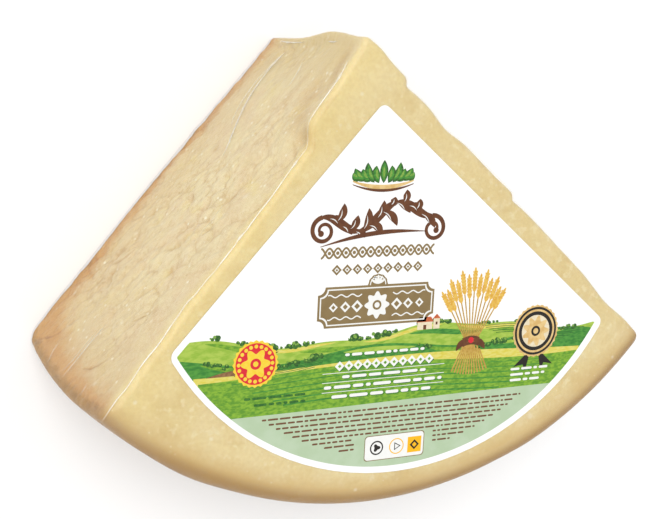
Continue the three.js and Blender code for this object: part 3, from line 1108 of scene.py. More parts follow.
@dataclass(frozen=True)
class CheeseFinish:
    """Colours of the cheese: its cut and split faces, the zone under the rind, the rind and their dots, with
    painted shade and painted highlight.
    """

    cut: Colour = srgb(230, 209, 151)
    cut_pale: Colour = srgb(236, 217, 163)
    cut_mottle: Colour = srgb(241, 226, 178)
    cut_dull: Colour = srgb(221, 196, 136)
    # Painted highlight along the rounded top-left edge.
    ridge_highlight: Colour = srgb(242, 220, 150)
    split: Colour = srgb(231, 212, 163)
    split_rosy: Colour = srgb(228, 204, 158)
    split_yellow: Colour = srgb(238, 219, 151)
    # Pale tone: a painted highlight on flake crests, and also random pale mottling of the split faces.
    crest: Colour = srgb(241, 227, 184)
    split_tan: Colour = srgb(217, 190, 138)
    tip_tone: Colour = srgb(222, 199, 139)
    cut_band: Colour = srgb(216, 186, 126)
    split_band: Colour = srgb(207, 157, 91)
    cut_rind: Colour = srgb(175, 133, 63)
    rind: Colour = srgb(174, 129, 60)
    rind_deep: Colour = srgb(153, 110, 48)
    crystal: Colour = srgb(249, 242, 216)
    crack: Colour = srgb(194, 153, 90)
    # Painted shade, laid on by multiplying where the painted_shade value is high.
    crack_shade: Colour = (0.67, 0.48, 0.28)
    # Painted shade of small pits on the split faces.
    pit: Colour = srgb(190, 156, 106)

    def material(self) -> bpy.types.Material:
        """Mixes the colours by where they are: how deep under the rind, and on which kind of face.

        Returns:
            The material.
        """
        s = Shading("cheese")
        names = ("rind_gap", "skin_gap", "cut_top", "split", "painted_shade", "crest", "ridge_highlight")
        gap, skin_gap, cut, split, painted_shade, crest, ridge_highlight = (s.attribute(name) for name in names)
        body = s.mix(cut, self.split_tones(s, crest), self.cut_tones(s))
        body = s.mix(s.times(s.attribute("near_tip"), split), body, self.tip_tone)
        body = s.mix(s.times(s.attribute("crown"), 0.45), body, self.cut_mottle)
        # Painted highlight along the top-left edge.
        body = s.mix(s.times(ridge_highlight, 0.68), body, self.ridge_highlight)
        stray = s.sum("SUBTRACT", s.grain(26, 2), 0.5)
        ragged = s.sum("SUBTRACT", s.grain(5, 4), 0.5)
        warped = s.sum("MULTIPLY_ADD", stray, 9.0, s.sum("MULTIPLY_ADD", ragged, 9.0, gap))
        body = s.mix(s.times(s.change(warped, 46, 14, 0, 0.55), split), body, self.split_tan)
        split_zone = s.change(warped, 17.5, 5.5)
        zone = s.between(cut, split_zone, s.change(s.sum("MULTIPLY_ADD", stray, 5.0, gap), 17.5, 7.5))
        body = s.mix(zone, body, s.mix(cut, self.split_band, self.cut_band))
        skin = s.mix(s.change(s.grain(9, 4), 0.35, 0.7), self.rind, self.rind_deep)
        skin = s.mix(cut, skin, self.cut_rind)
        split_cover = s.change(s.sum("MULTIPLY_ADD", ragged, 5.0, skin_gap), 7.4, 2.6)
        covered = s.between(cut, split_cover, s.change(skin_gap, 10.8, 3.8))
        body = s.mix(covered, body, skin)
        # Painted shade in creases, under ledges, in pits and in the dark streaks by the tip.
        body = s.mix(s.times(painted_shade, 0.6), body, self.crack_shade, "MULTIPLY")
        bare = s.sum("SUBTRACT", 1.0, covered)
        for size, reach, share in ((7.5, 0.2, 0.5), (4.3, 0.13, 0.45), (15.0, 0.17, 0.4)):
            cells = s.spots(size)
            chosen = s.change(cells.outputs["Color"], 0.5, 0.62, 0, share)
            crystals = s.times(s.change(cells.outputs["Distance"], reach, 0.02), chosen)
            body = s.mix(s.times(crystals, bare), body, self.crystal)
        flecks = s.spots(4.4)
        shown = s.times(s.change(flecks.outputs["Color"], 0.55, 0.75, 0, 0.85), split)
        fleck = s.times(s.change(flecks.outputs["Distance"], 0.24, 0.08), shown)
        body = s.mix(s.times(fleck, s.sum("SUBTRACT", 1.0, zone)), body, self.crystal)
        # Painted shade of small pits: darker spots at cell centres, with no hollow in the mesh.
        pits = s.change(s.spots(11).outputs["Distance"], 0.09, 0.03, 0, 0.5)
        body = s.mix(s.times(pits, split), body, self.pit)
        body = s.mix(s.change(s.grain(1.6, 4), 0.3, 0.7, 0.0, 0.15), body, self.crack)
        crumbs = s.times(s.grain(2.4, 5), s.sum("MULTIPLY_ADD", split, 0.9, 0.1))
        coarse = s.bump(crumbs, 0.34, s.bump(s.grain(15, 2), 0.4))
        fine = s.bump(s.grain(0.5, 2), 0.02, coarse)
        shader = s.surface(
            Base_Color=body,
            Roughness=0.48,
            Normal=fine,
            Subsurface_Weight=0.15,
            Subsurface_Radius=(1.0, 0.65, 0.35),
            Subsurface_Scale=0.003,
            Specular_IOR_Level=0.35,
        )
        return s.finished(shader)

    def cut_tones(self, s: Shading) -> Socket:
        """The flat cut top: slow pale clouds, soft pale blobs and duller ones.

        Args:
            s: The material's nodes.

        Returns:
            The face's colour.
        """
        tone = s.mix(s.change(s.grain(26, 3), 0.35, 0.65), self.cut, self.cut_pale)
        tone = s.mix(s.change(s.grain(11, 4), 0.5, 0.7, 0, 0.7), tone, self.cut_dull)
        return s.mix(s.change(s.grain(4.2, 2), 0.54, 0.7, 0, 0.75), tone, self.cut_mottle)

    def split_tones(self, s: Shading, crest: Socket) -> Socket:
        """The split faces: rosy and yellow clouds, pale mottling, and a painted highlight on the flakes'
        crests.

        Args:
            s: The material's nodes.
            crest: How near a place is to a flake's crest, which sets the painted highlight there.

        Returns:
            The face's colour.
        """
        tone = s.mix(s.change(s.grain(19, 4), 0.42, 0.62), self.split, self.split_rosy)
        tone = s.mix(s.change(s.grain(14, 3), 0.55, 0.75, 0, 0.8), tone, self.split_yellow)
        tone = s.mix(s.change(s.grain(2.8, 3), 0.5, 0.68, 0, 0.45), tone, self.crest)
        # Painted highlight on the flakes' crests.
        return s.mix(s.times(crest, 0.6), tone, self.crest)


@dataclass(frozen=True)
class FilmFinish:
    """Clear film: nearly all see-through, a little milky, and glossy where it is seen aslant."""

    name: str = "film"
    colour: Colour = srgb(250, 248, 240)
    haze: float = 0.012
    gloss: float = 0.14
    most: float = 0.04
    roughness: float = 0.22
    wrinkle: float = 0.12

    def material(self) -> bpy.types.Material:
        """Mixes a clear shader with a glossy one by slant and by milky patches.

        Returns:
            The material.
        """
        s = Shading(self.name)
        waves = s.bump(s.grain(9, 2, (1.0, 1.0, 0.6)), self.wrinkle)
        waves = s.bump(s.grain(2.6, 3), self.wrinkle * 0.2, waves)
        glossy = s.surface(Base_Color=(*self.colour, 1), Roughness=self.roughness, Normal=waves)
        clear = s.node("ShaderNodeBsdfTransparent").outputs[0]
        slant = s.node("ShaderNodeFresnel", {"IOR": 1.45, "Normal": waves}).outputs[0]
        milky = s.change(s.grain(13, 4), 0.4, 0.8, self.haze * 0.4, self.haze * 2)
        shine = s.sum("MINIMUM", s.times(slant, self.gloss), self.most)
        share = s.sum("ADD", shine, milky)
        return s.finished(s.node("ShaderNodeMixShader", {0: share, 1: clear, 2: glossy}).outputs[0])


@dataclass(frozen=True)
class PaperFinish:
    """White satin label paper."""

    colour: Colour = (0.93, 0.93, 0.92)
    fibre: Colour = (0.9, 0.9, 0.89)

    def material(self) -> bpy.types.Material:
        """Mixes two whites by fine fibres, with a faint tooth and a satin gloss.

        Returns:
            The material.
        """
        s = Shading("label_paper")
        fibres = s.grain(0.9, 4, (1.0, 0.35, 1.0))
        colour = s.mix(s.change(fibres, 0.35, 0.75), self.colour, self.fibre)
        tooth = s.bump(fibres, 0.012)
        return s.finished(s.surface(Base_Color=colour, Roughness=0.36, Normal=tooth))


@dataclass(frozen=True)
class Ink:
    """A printed colour: two tones mixed by a grain in millimetres that may be stretched across."""

    tone: tuple[int, int, int]
    second: tuple[int, int, int]
    grain: float = 1.5
    stretch: float = 1.0

    def material(self, name: str) -> bpy.types.Material:
        """Mixes the two tones by noise of the ink's grain, under a satin varnish.

        Args:
            name: The material's name.

        Returns:
            The material.
        """
        s = Shading(name)
        share = s.change(s.grain(self.grain, 4, (1.0, self.stretch, 1.0)), 0.35, 0.65)
        colour = s.mix(share, srgb(*self.tone), srgb(*self.second))
        varnish = s.bump(s.grain(0.8, 2), 0.008)
        return s.finished(s.surface(Base_Color=colour, Roughness=0.34, Normal=varnish))


@dataclass
class Workbench:
    """Places finished pieces, each with its material, its body and the node that it stands for.

    Attributes:
        shift: Plan move from the wheel's axis to the frame's origin, in millimetres.
    """

    shift: Array

    def place(
        self, name: str, draft: MeshDraft, material: bpy.types.Material, slot: str, smooth: bool = True,
        node: str | None = None,
    ) -> bpy.types.Object:
        """Makes a piece from its draft.

        Args:
            name: The piece's name.
            draft: Its mesh.
            material: Its finish.
            slot: The record's slot that the finish belongs to; not used.
            smooth: Whether it is shaded smooth.
            node: The CAD node that it stands for, or None.

        Returns:
            The piece.
        """
        piece = draft.to_object(name, self.shift, smooth)
        piece.data.materials.append(material)
        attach(piece, BODY)
        if node is not None:
            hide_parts(node)
        log.info("%s: %d points, %d faces", name, len(piece.data.vertices), len(piece.data.polygons))
        return piece


@dataclass
class Cheese:
    """The cheese inside the film: split faces with lapping flakes, a barrel rind, and a flat cut top."""

    form: Wedge
    grid: Grid = Grid(320, 90, 130, 6, 130, 11, 12, 2)
    inset: float = 0.16

    def build(self, bench: Workbench) -> bpy.types.Object:
        """Makes and dresses the cheese.

        Args:
            bench: Where pieces are placed.

        Returns:
            The piece.
        """
        thin = self.inset
        draft = self.form.closed(self.grid, Skin.CHEESE, thin, thin, self.form.height - thin)
        return bench.place("cheese_body", draft, CheeseFinish().material(), "cheese", node="parmesan_chunk")


@dataclass(frozen=True)
class Crease:
    """A pleat of the film on a split face: the places along and up that it passes, its width and height."""

    side: Side
    places: tuple[Pair, ...]
    width: float = 0.55
    height: float = 0.3


@dataclass
class FilmPack:
    """The clear film shrunk onto the cheese, its pleats, and the white bead of its seam on the left edge, a
    painted highlight of the film's gleam there.
    """

    form: Wedge
    grid: Grid = Grid(150, 60, 80, 4, 48, 9, 8, 2)
    thickness: float = 0.08
    sunk: float = 0.03
    creases: tuple[Crease, ...] = (
        Crease(Side.LEFT, ((9.3, 36.8), (27.5, 35.3), (56, 50), (73.5, 61.3)), 1.8, 0.25),
        Crease(Side.LEFT, ((9.3, 36.9), (16, 34.6), (24, 34.2)), 0.9, 0.6),
        Crease(Side.LEFT, ((11.9, 34.2), (30.3, 31.3), (57.2, 44.7)), 0.8, 0.2),
        Crease(Side.LEFT, ((14.7, 71.3), (21.7, 74.9), (30, 76.5)), 0.9, 0.25),
        Crease(Side.LEFT, ((2.5, 18), (3.2, 34), (2.6, 52)), 1.0, 0.06),
        Crease(Side.LEFT, ((2.4, 84), (3.0, 91), (2.4, 98)), 1.0, 0.06),
        Crease(Side.LEFT, ((91.6, 94.7), (102.3, 94.4), (113.6, 93.7)), 0.25, 0.15),
        Crease(Side.LEFT, ((191.0, 36.8), (197.7, 39.2), (201, 42.6)), 0.4),
        Crease(Side.LEFT, ((169.1, 69.7), (185.2, 66.3), (200.5, 65.8)), 1.1, 0.3),
        Crease(Side.LEFT, ((172, 66.5), (186, 63.2), (199.5, 61.5)), 0.6, 0.2),
        Crease(Side.LEFT, ((194, 91.9), (200.3, 92.8)), 0.4),
        Crease(Side.RIGHT, ((12, 58), (38, 66), (71, 62)), 0.7, 0.35),
        Crease(Side.RIGHT, ((16, 51), (40, 60), (58, 57)), 0.4),
        Crease(Side.RIGHT, ((118, 88), (141, 80), (160, 84)), 0.5),
        Crease(Side.RIGHT, ((170, 41), (184, 46), (196, 44)), 0.6, 0.35),
        Crease(Side.RIGHT, ((84, 22), (112, 17), (133, 24)), 0.45),
    )
    seam_from: float = 11.0
    seam_to: float = 203.0
    seam_drop: float = 0.75
    seam_width: float = 0.7
    seam_blobs: tuple[float, ...] = (21.0, 63.0, 103.0)

    def build(self, bench: Workbench) -> list[bpy.types.Object]:
        """Makes the film, its creases and its seam.

        Args:
            bench: Where pieces are placed.

        Returns:
            The three pieces.
        """
        glossy = FilmFinish()
        # The pleats' milky white is partly a painted highlight along them; their gloss comes from the shader.
        pleat_highlight = FilmFinish("film_pleat_highlight", (0.95, 0.92, 0.83), haze=0.22, gloss=0.4, most=0.3, wrinkle=0.05)
        # The seam's milky white is a painted highlight: the gleam of the film stretched over the top-left
        # edge.
        gleam = FilmFinish("film_gleam", (1.0, 0.98, 0.9), haze=0.5, gloss=0.4, most=0.35, wrinkle=0.05)
        return [
            bench.place("clear_film", self.skin(), glossy.material(), "film", node="parmesan_chunk"),
            bench.place("film_creases", self.pleats(), pleat_highlight.material(), "film"),
            bench.place("film_seam_highlight", self.seam(), gleam.material(), "film"),
        ]

    def skin(self) -> MeshDraft:
        """A thin closed shell: the outer form, and the same form a thickness further in, turned inside out.

        Returns:
            The draft.
        """
        low, top, thin = self.sunk, self.form.height - self.sunk, self.thickness
        outer = self.form.closed(self.grid, Skin.FILM, 0.0, low, top)
        inner = self.form.closed(self.grid, Skin.FILM, thin, low + thin, top - thin)
        inner.faces = [face[:, ::-1] for face in inner.faces]
        return outer.joined(inner)

    def pleats(self) -> MeshDraft:
        """Every crease as a bead that swells from a point and back, its width the sine of the way along it.

        Returns:
            The draft.
        """
        drafts = []
        for crease in self.creases:
            places = through(crease.places, 40)
            path = self.form.face_point(crease.side, places[:, 0], places[:, 1], 0.0)
            above = self.form.face_point(crease.side, places[:, 0], places[:, 1], 1.0)
            swell = np.sin(np.linspace(0, math.pi, len(path))) ** 0.6
            drafts.append(bead(path, above - path, crease.width / 2 * swell, crease.height / 2 * swell))
        return joined(drafts)

    def seam(self) -> MeshDraft:
        """A bead along the left face's top edge, a painted highlight of the film there: its width noise,
        swollen at the blobs, thin at the notch.

        Returns:
            The draft.
        """
        along = np.linspace(self.seam_from, self.seam_to, 260)
        hook = 2.4 * (1 - smoothstep(self.seam_from, self.seam_from + 9, along))
        wander = 0.5 * (1 + noise(along / 13, 0.0, 61)) + 0.2 * noise(along / 4.5, 0.0, 64)
        up = self.form.height - self.seam_drop - hook - wander
        path = self.form.face_point(Side.LEFT, along, up, 0.02)
        above = self.form.face_point(Side.LEFT, along, up, 1.0) - path + np.array([0, 0, 1.0])
        ends = smoothstep(self.seam_from, self.seam_from + 5, along)
        ends = ends * (1 - smoothstep(self.seam_to - 14, self.seam_to, along))
        swell = ends * (0.66 + 0.34 * noise(along / 8, 0.0, 62)) * (1 - 0.3 * bell(along, 52, 7))
        for blob in self.seam_blobs:
            swell = swell + 1.1 * bell(along, blob, 1.5)
        width = self.seam_width / 2 * np.maximum(swell, 0.03)
        return bead(path, above, width, 0.5 * width)


def joined(drafts: Sequence[MeshDraft]) -> MeshDraft:
    """Several drafts as one, each one's point numbers moved past those before it."""
    return reduce(MeshDraft.joined, drafts)


LABEL_TOP = 126.3
INK_STEP = 0.02
OVERPRINT = 0.0011


def plate(low: Array, high: Array, level: int, closed: bool = False) -> MeshDraft:
    """A thin plate between two curves, its rectangle of a section carried along them.

    Args:
        low: Points of the curve on the right of the way along, two numbers each.
        high: Points of the curve on the left.
        level: Which layer of print it is; higher ones cover lower ones.
        closed: Whether the curves close on themselves.

    Returns:
        The draft.
    """
    base, top = LABEL_TOP, LABEL_TOP + level * INK_STEP
    corners = [(high, top), (low, top), (low, base), (high, base)]
    rows = np.stack([np.column_stack([p, np.full(len(p), z)]) for p, z in corners], axis=1)
    count = len(low)
    faces = [grid_faces(count, 4, True)]
    if closed:
        last = (count - 1) * 4 + np.arange(4)
        first = np.arange(4)
        faces.append(np.stack([last, np.roll(last, -1), np.roll(first, -1), first], axis=-1))
    else:
        faces += [np.arange(4)[::-1][None], ((count - 1) * 4 + np.arange(4))[None]]
    return MeshDraft(rows.reshape(-1, 3), faces)


def slab(outline: Array, level: int) -> MeshDraft:
    """A thin plate with any outline, its edge carried straight up between two flat faces.

    Args:
        outline: Points, counter-clockwise, two numbers each.
        level: Its layer of print.

    Returns:
        The draft.
    """
    count = len(outline)
    heights = (LABEL_TOP, LABEL_TOP + level * INK_STEP)
    points = np.concatenate([np.column_stack([outline, np.full(count, z)]) for z in heights])
    ring = np.arange(count)
    return MeshDraft(points, [grid_faces(2, count, True), ring[::-1][None], (ring + count)[None]])


def loop(centre: Pair, radius: float, count: int = 64, lobes: int = 0, depth: float = 0.0) -> Array:
    """A circle, or one whose radius swings in lobes: the radius times 1 plus depth times the lobes' cosine.

    Args:
        centre: Its middle.
        radius: Its radius.
        count: Number of points; 3 or 4 make a triangle or a lozenge.
        lobes: Number of lobes.
        depth: Their depth as a share of the radius.

    Returns:
        The closed curve, counter-clockwise.
    """
    turn = np.arange(count) * math.tau / count
    reach = radius * (1 + depth * np.cos(lobes * turn))
    return np.stack([centre[0] + reach * np.cos(turn), centre[1] + reach * np.sin(turn)], axis=-1)


def ring(centre: Pair, inner: float, outer: float, level: int) -> MeshDraft:
    """A flat ring between two circles."""
    return plate(loop(centre, outer), loop(centre, inner), level, closed=True)


def discs(centre: Pair, unit: float, *layers: tuple) -> "Plates":
    """Discs on one centre, from the bottom up.

    Args:
        centre: Their middle.
        unit: What their radii are shares of.
        layers: Each disc's ink, share, level, and if need be the count, lobes and depth of its loop.

    Returns:
        Inks with their plates.
    """
    for ink, share, level, *shape in layers:
        yield ink, slab(loop(centre, unit * share, *shape), level)


def ribbon(path: Array, width: Array | float, level: int) -> MeshDraft:
    """A stroke of a width that may change, half of it to each side of a path.

    Args:
        path: Points of its middle line, two numbers each.
        width: Its width, or one for each point.
        level: Its layer of print.

    Returns:
        The draft.
    """
    along = unit_rows(np.gradient(path, axis=0))
    left = np.stack([-along[:, 1], along[:, 0]], axis=-1)
    half = np.broadcast_to(np.asarray(width, float) / 2, len(path))[:, None]
    return plate(path - left * half, path + left * half, level)


def stroke(x: Array, y: Array | float, width: Array | float, level: int) -> MeshDraft:
    """A ribbon whose path is given by its two coordinates."""
    return ribbon(np.stack(np.broadcast_arrays(x, y), axis=-1), width, level)


def field_plate(x: Array, low: Array, high: Array, level: int) -> MeshDraft:
    """A plate between two heights over x."""
    return plate(np.stack([x, low], axis=-1), np.stack([x, high], axis=-1), level)


def leaf(
    root: Sequence[float], heading: float, length: float, width: float, level: int, bend: float = 0.0
) -> MeshDraft:
    """A leaf: a stroke whose width is the sine of the way along it, on a line that may bend.

    Args:
        root: Where it grows from.
        heading: Its direction in degrees from the label's right.
        length: From root to point.
        width: At its fattest.
        level: Its layer of print.
        bend: How far its middle stands to the left of the straight line, as a share of its length.

    Returns:
        The draft.
    """
    way = np.linspace(0, 1, 11)
    angle = math.radians(heading)
    forward = np.array([math.cos(angle), math.sin(angle)])
    sideways = np.array([-forward[1], forward[0]])
    path = np.array(root) + forward * (length * way)[:, None]
    path = path + sideways * (bend * length * np.sin(math.pi * way))[:, None]
    return ribbon(path, np.maximum(width * np.sin(math.pi * way) ** 0.8, 0.03), level)


def dash(centre: Pair, length: float, height: float, level: int) -> MeshDraft:
    """A short bar whose two ends are half circles.

    Args:
        centre: Its middle.
        length: From end to end.
        height: Across.
        level: Its layer of print.

    Returns:
        The draft.
    """
    turn = np.linspace(-math.pi / 2, math.pi / 2, 5)
    reach = max(length - height, 0.01) / 2
    right = np.stack([reach + height / 2 * np.cos(turn), height / 2 * np.sin(turn)], axis=-1)
    return slab(np.concatenate([right, -right]) + np.array(centre), level)


def bar(low: Pair, high: Pair, level: int) -> MeshDraft:
    """An upright rectangle between two corners."""
    return slab(np.array([low, (high[0], low[1]), high, (low[0], high[1])], float), level)


INKS = {
    "hill": Ink((150, 188, 60), (178, 205, 84), 4.0, 2.5),
    "grove": Ink((52, 128, 46), (84, 158, 58), 3.0, 2.5),
    "straw": Ink((222, 208, 78), (232, 222, 120), 3.0, 3.0),
    "meadow": Ink((96, 152, 40), (140, 186, 52), 2.2, 2.0),
    "soil": Ink((132, 92, 58), (156, 116, 74), 1.5),
    "row": Ink((38, 98, 36), (64, 124, 44), 1.2),
    "tree": Ink((34, 84, 30), (70, 122, 44), 0.9),
    "tree_light": Ink((106, 156, 60), (140, 180, 76), 0.7),
    "sage": Ink((186, 208, 172), (194, 214, 182), 9.0),
    "small": Ink((122, 82, 52), (112, 74, 46)),
    "brown": Ink((98, 54, 26), (112, 66, 34), 3.0),
    "olive": Ink((139, 116, 74), (145, 122, 80), 5.0),
    "white": Ink((252, 252, 248), (248, 248, 244)),
    "black": Ink((26, 22, 18), (34, 28, 22)),
    "gold": Ink((222, 182, 112), (238, 206, 142), 2.5),
    "wheat": Ink((226, 172, 62), (240, 200, 96), 1.0),
    "stem": Ink((188, 146, 62), (206, 168, 84), 1.0),
    "red": Ink((222, 34, 50), (228, 44, 56)),
    "yellow": Ink((250, 212, 50), (252, 220, 74)),
    "amber": Ink((255, 190, 0), (255, 196, 20)),
    "clay": Ink((196, 92, 52), (210, 112, 66), 0.8),
    "cream": Ink((244, 232, 202), (236, 220, 184), 1.0),
}

Plates = Iterator[tuple[str, MeshDraft]]


@dataclass(frozen=True)
class Sector:
    """The label's outline in its own frame: its arc is centred on the frame's origin, +Y to its tip."""

    tip: Pair = (-16.5, 42.8)
    left: Pair = (-113.7, -66.8)
    right: Pair = (114.7, -65.0)
    radius: float = 131.9
    border: float = 3.3
    reach: float = 118.0

    def ceiling(self, x: Array, border: float) -> Array:
        """Height of the two straight sides over x: the lower of two lines.

        Args:
            x: Places across.
            border: How far the sides are moved in.

        Returns:
            Heights.
        """
        lines = []
        for corner in (self.left, self.right):
            slope = (self.tip[1] - corner[1]) / (self.tip[0] - corner[0])
            lines.append(self.tip[1] + slope * (x - self.tip[0]) - border * math.hypot(1, slope))
        return np.minimum(*lines)

    def floor(self, x: Array, border: float) -> Array:
        """Height of the arc over x, moved in by a border: a circle."""
        return -np.sqrt(np.maximum((self.radius - border) ** 2 - x**2, 0))

    def band(self, top: "Crest", level: int) -> MeshDraft:
        """A field of print from a top line down to the arc, cut off at the sides.

        Args:
            top: Its top line.
            level: Its layer of print.

        Returns:
            The draft.
        """
        x = np.linspace(-self.reach, self.reach, 220)
        low = self.floor(x, self.border)
        high = np.minimum(top.at(x), self.ceiling(x, self.border))
        shown = high > low + 0.05
        return field_plate(x[shown], low[shown], high[shown], level)

    def half_width(self, y: float, border: float) -> float:
        """Half of the arc's width at a height."""
        return math.sqrt(max((self.radius - border) ** 2 - y**2, 0))


@dataclass(frozen=True)
class Crest:
    """The top line of a field: a level, and on it sines, each with its height, length and phase."""

    level: float
    waves: tuple[tuple[float, float, float], ...]

    def at(self, x: Array) -> Array:
        """Height of the line over x."""
        return sum((tall * np.sin(x / length + phase) for tall, length, phase in self.waves), self.level)


Patch = tuple[float, float, float, float, str]


@dataclass(frozen=True)
class Fields:
    """A rolling countryside across the label's wide end, with patches of crops, hedges and a barn.

    Attributes:
        sector: The label's outline.
        hill: Top line of the far hills.
        grove: Top line of the nearer, darker hills.
        straw: Top line of the yellow field.
        meadow: Top line of the meadow in front.
        sage: Top line of the pale panel below the picture.
        hedges: Number of hedges on each range of hills.
        barn: Where the barn stands.
        far_patches: Patches on the far hills: from and to, how far under the crest, how deep, and the ink.
        near_patches: The same on the nearer hills.
    """

    sector: Sector
    hill: Crest = Crest(-63.5, ((3.0, 23, 0.4), (1.1, 8.3, 0.0)))
    grove: Crest = Crest(-70.5, ((2.6, 17, 2.4), (1.2, 41, 0.0)))
    straw: Crest = Crest(-76.0, ((1.6, 33, 1.2),))
    meadow: Crest = Crest(-78.6, ((1.7, 29, 2.2),))
    sage: Crest = Crest(-96.5, ((0.9, 60, 0.0),))
    hedges: int = 13
    barn: Pair = (12.0, -62.4)
    far_patches: tuple[Patch, ...] = (
        (-97, -62, 1.4, 2.4, "meadow"), (-76, -34, 0.7, 1.6, "straw"), (-52, -8, 2.8, 2.6, "meadow"),
        (-20, 22, 1.0, 1.7, "straw"), (4, 44, 3.2, 2.6, "grove"), (30, 72, 0.8, 2.0, "straw"),
        (52, 98, 3.4, 2.6, "meadow"), (74, 101, 0.9, 1.4, "straw"),
    )
    near_patches: tuple[Patch, ...] = (
        (-99, -70, 1.0, 2.0, "meadow"), (-30, 8, 1.2, 2.2, "hill"), (12, 46, 0.9, 2.4, "meadow"),
        (52, 92, 1.3, 2.2, "hill"),
    )

    def plates(self) -> Plates:
        """The fields from far to near with their rows of crops, then what grows and stands on them.

        Returns:
            Inks with their plates.
        """
        for level, ink in enumerate(("hill", "grove", "straw", "meadow", "sage"), 1):
            yield ink, self.sector.band(getattr(self, ink), level)
        for number in range(7):
            x = np.linspace(-98 + 3 * number, -34 - 2.0 * number, 60)
            yield "row", stroke(x, self.grove.at(x) - 0.9 - 0.75 * number, 0.28, 3)
        for number in range(5):
            x = np.linspace(44 + 2 * number, 104 - 3.0 * number, 60)
            yield "row", stroke(x, self.hill.at(x) - 1.1 - 1.0 * number, 0.3, 2)
        for number in range(6):
            x = np.linspace(-84 + 5 * number, 86 - 6 * number, 80)
            yield "grove", stroke(x, self.meadow.at(x) - 2.0 - 2.6 * number, 0.35 + 0.08 * number, 5)
        x = np.linspace(-96, -66, 40)
        arch = np.sin(math.pi * (x + 96) / 30)
        yield "soil", field_plate(x, self.straw.at(x) - 0.1, self.straw.at(x) + 2.4 * arch, 5)
        yield from self.crops()
        yield from self.wood()
        yield from self.farm()

    def crops(self) -> Plates:
        """Patches as lenses under a crest's line, as deep as the sine of the way along, above the next field.

        Returns:
            Inks with their plates.
        """
        way = np.linspace(0, 1, 50)
        far = (self.hill, self.grove, 2, self.far_patches)
        near = (self.grove, self.straw, 3, self.near_patches)
        for crest, next_line, level, patches in (far, near):
            for start, end, under, deep, ink in patches:
                x = np.linspace(start, end, 50)
                top = crest.at(x) - under
                low = np.maximum(top - deep * np.sin(math.pi * way) ** 0.7, next_line.at(x) + 0.15)
                yield ink, field_plate(x, low, np.maximum(top, low + 0.03), level)

    def wood(self) -> Plates:
        """Hedges along the two ranges of hills: runs of lumps with a lighter top, drawn from a seed.

        Returns:
            Inks with their plates.
        """
        rng = np.random.default_rng(17)
        for crest, level, under in ((self.hill, 3, 0.0), (self.grove, 5, 2.0)):
            places = []
            for start in rng.uniform(-97, 92, self.hedges):
                count = int(rng.integers(2, 9))
                places += list(start + 1.9 * np.arange(count) + rng.uniform(-0.5, 0.5, count))
            for x in sorted(places):
                size = rng.uniform(0.55, 1.5) * (1.5 if rng.uniform() > 0.85 else 1.0)
                y = float(crest.at(np.array(x))) + 0.4 * size - under * rng.uniform(0.2, 1.0)
                if y > float(self.sector.ceiling(np.array(x), self.sector.border)) - 2 * size or x > 100:
                    continue
                for lump in range(3):
                    spot = (x + size * rng.uniform(-0.8, 0.8), y + size * rng.uniform(-0.3, 0.45))
                    yield "tree", slab(loop(spot, size * rng.uniform(0.55, 0.85), 16), level + 1)
                yield "tree_light", slab(loop((x - 0.3 * size, y + 0.5 * size), 0.4 * size, 12), level + 2)

    def farm(self) -> Plates:
        """A small barn: two cream walls, their clay roofs, a door and a window.

        Returns:
            Inks with their plates.
        """
        x, y = self.barn
        roof = np.array([(x - 4.6, y + 3.0), (x + 4.6, y + 3.0), (x + 3.2, y + 5.4), (x - 3.2, y + 5.4)])
        gable = np.array([(x + 4.2, y + 4.4), (x + 8.4, y + 4.4), (x + 6.3, y + 6.6)])
        yield "cream", bar((x - 4, y - 0.6), (x + 4, y + 3.0), 6)
        yield "cream", bar((x + 4.6, y - 0.6), (x + 8.0, y + 4.4), 6)
        yield "clay", slab(roof, 7)
        yield "clay", slab(gable, 7)
        yield "brown", bar((x - 0.8, y - 0.6), (x + 0.8, y + 1.6), 7)
        yield "brown", bar((x + 5.8, y + 1.4), (x + 6.8, y + 2.8), 7)


@dataclass(frozen=True)
class Sprig:
    """A garland of green leaves over a curved stem, near the label's tip."""

    root: Pair = (-14.0, 6.6)
    reach: float = 11.5
    leaves: int = 11
    length: float = 10.5
    width: float = 4.2
    lean: float = 56.0

    def plates(self) -> Plates:
        """Leaves that lean away from the stem's middle, two paler ones on each, and the stem's strokes.

        Returns:
            Inks with their plates.
        """
        cx, cy = self.root
        for number, share in enumerate(np.linspace(-1, 1, self.leaves)):
            heading = 90 - self.lean * share
            way = np.array([math.cos(math.radians(heading)), math.sin(math.radians(heading))])
            foot = np.array([cx + self.reach * share, cy + 2.0 * share**2])
            length = self.length * (1 - 0.4 * share**2) * (1 - 0.22 * ((number + 1) % 2))
            bend = -0.12 * float(np.sign(share))
            yield "tree", leaf(foot, heading, length, self.width, 1, bend)
            yield "grove", leaf(foot + way, heading, 0.8 * length, 0.6 * self.width, 2, bend)
            yield "tree_light", leaf(foot + 2 * way, heading, 0.55 * length, 1.2, 3, bend)
        x = np.linspace(-15.5, 15.5, 40)
        y = cy - 1.8 + 0.012 * x**2
        swell = np.cos(x / 15.5 * 1.4)
        yield "gold", stroke(cx + x, y, 2.1 * swell + 0.1, 4)
        yield "brown", stroke(cx + x, y - 1.5, 1.2 * swell + 0.1, 5)


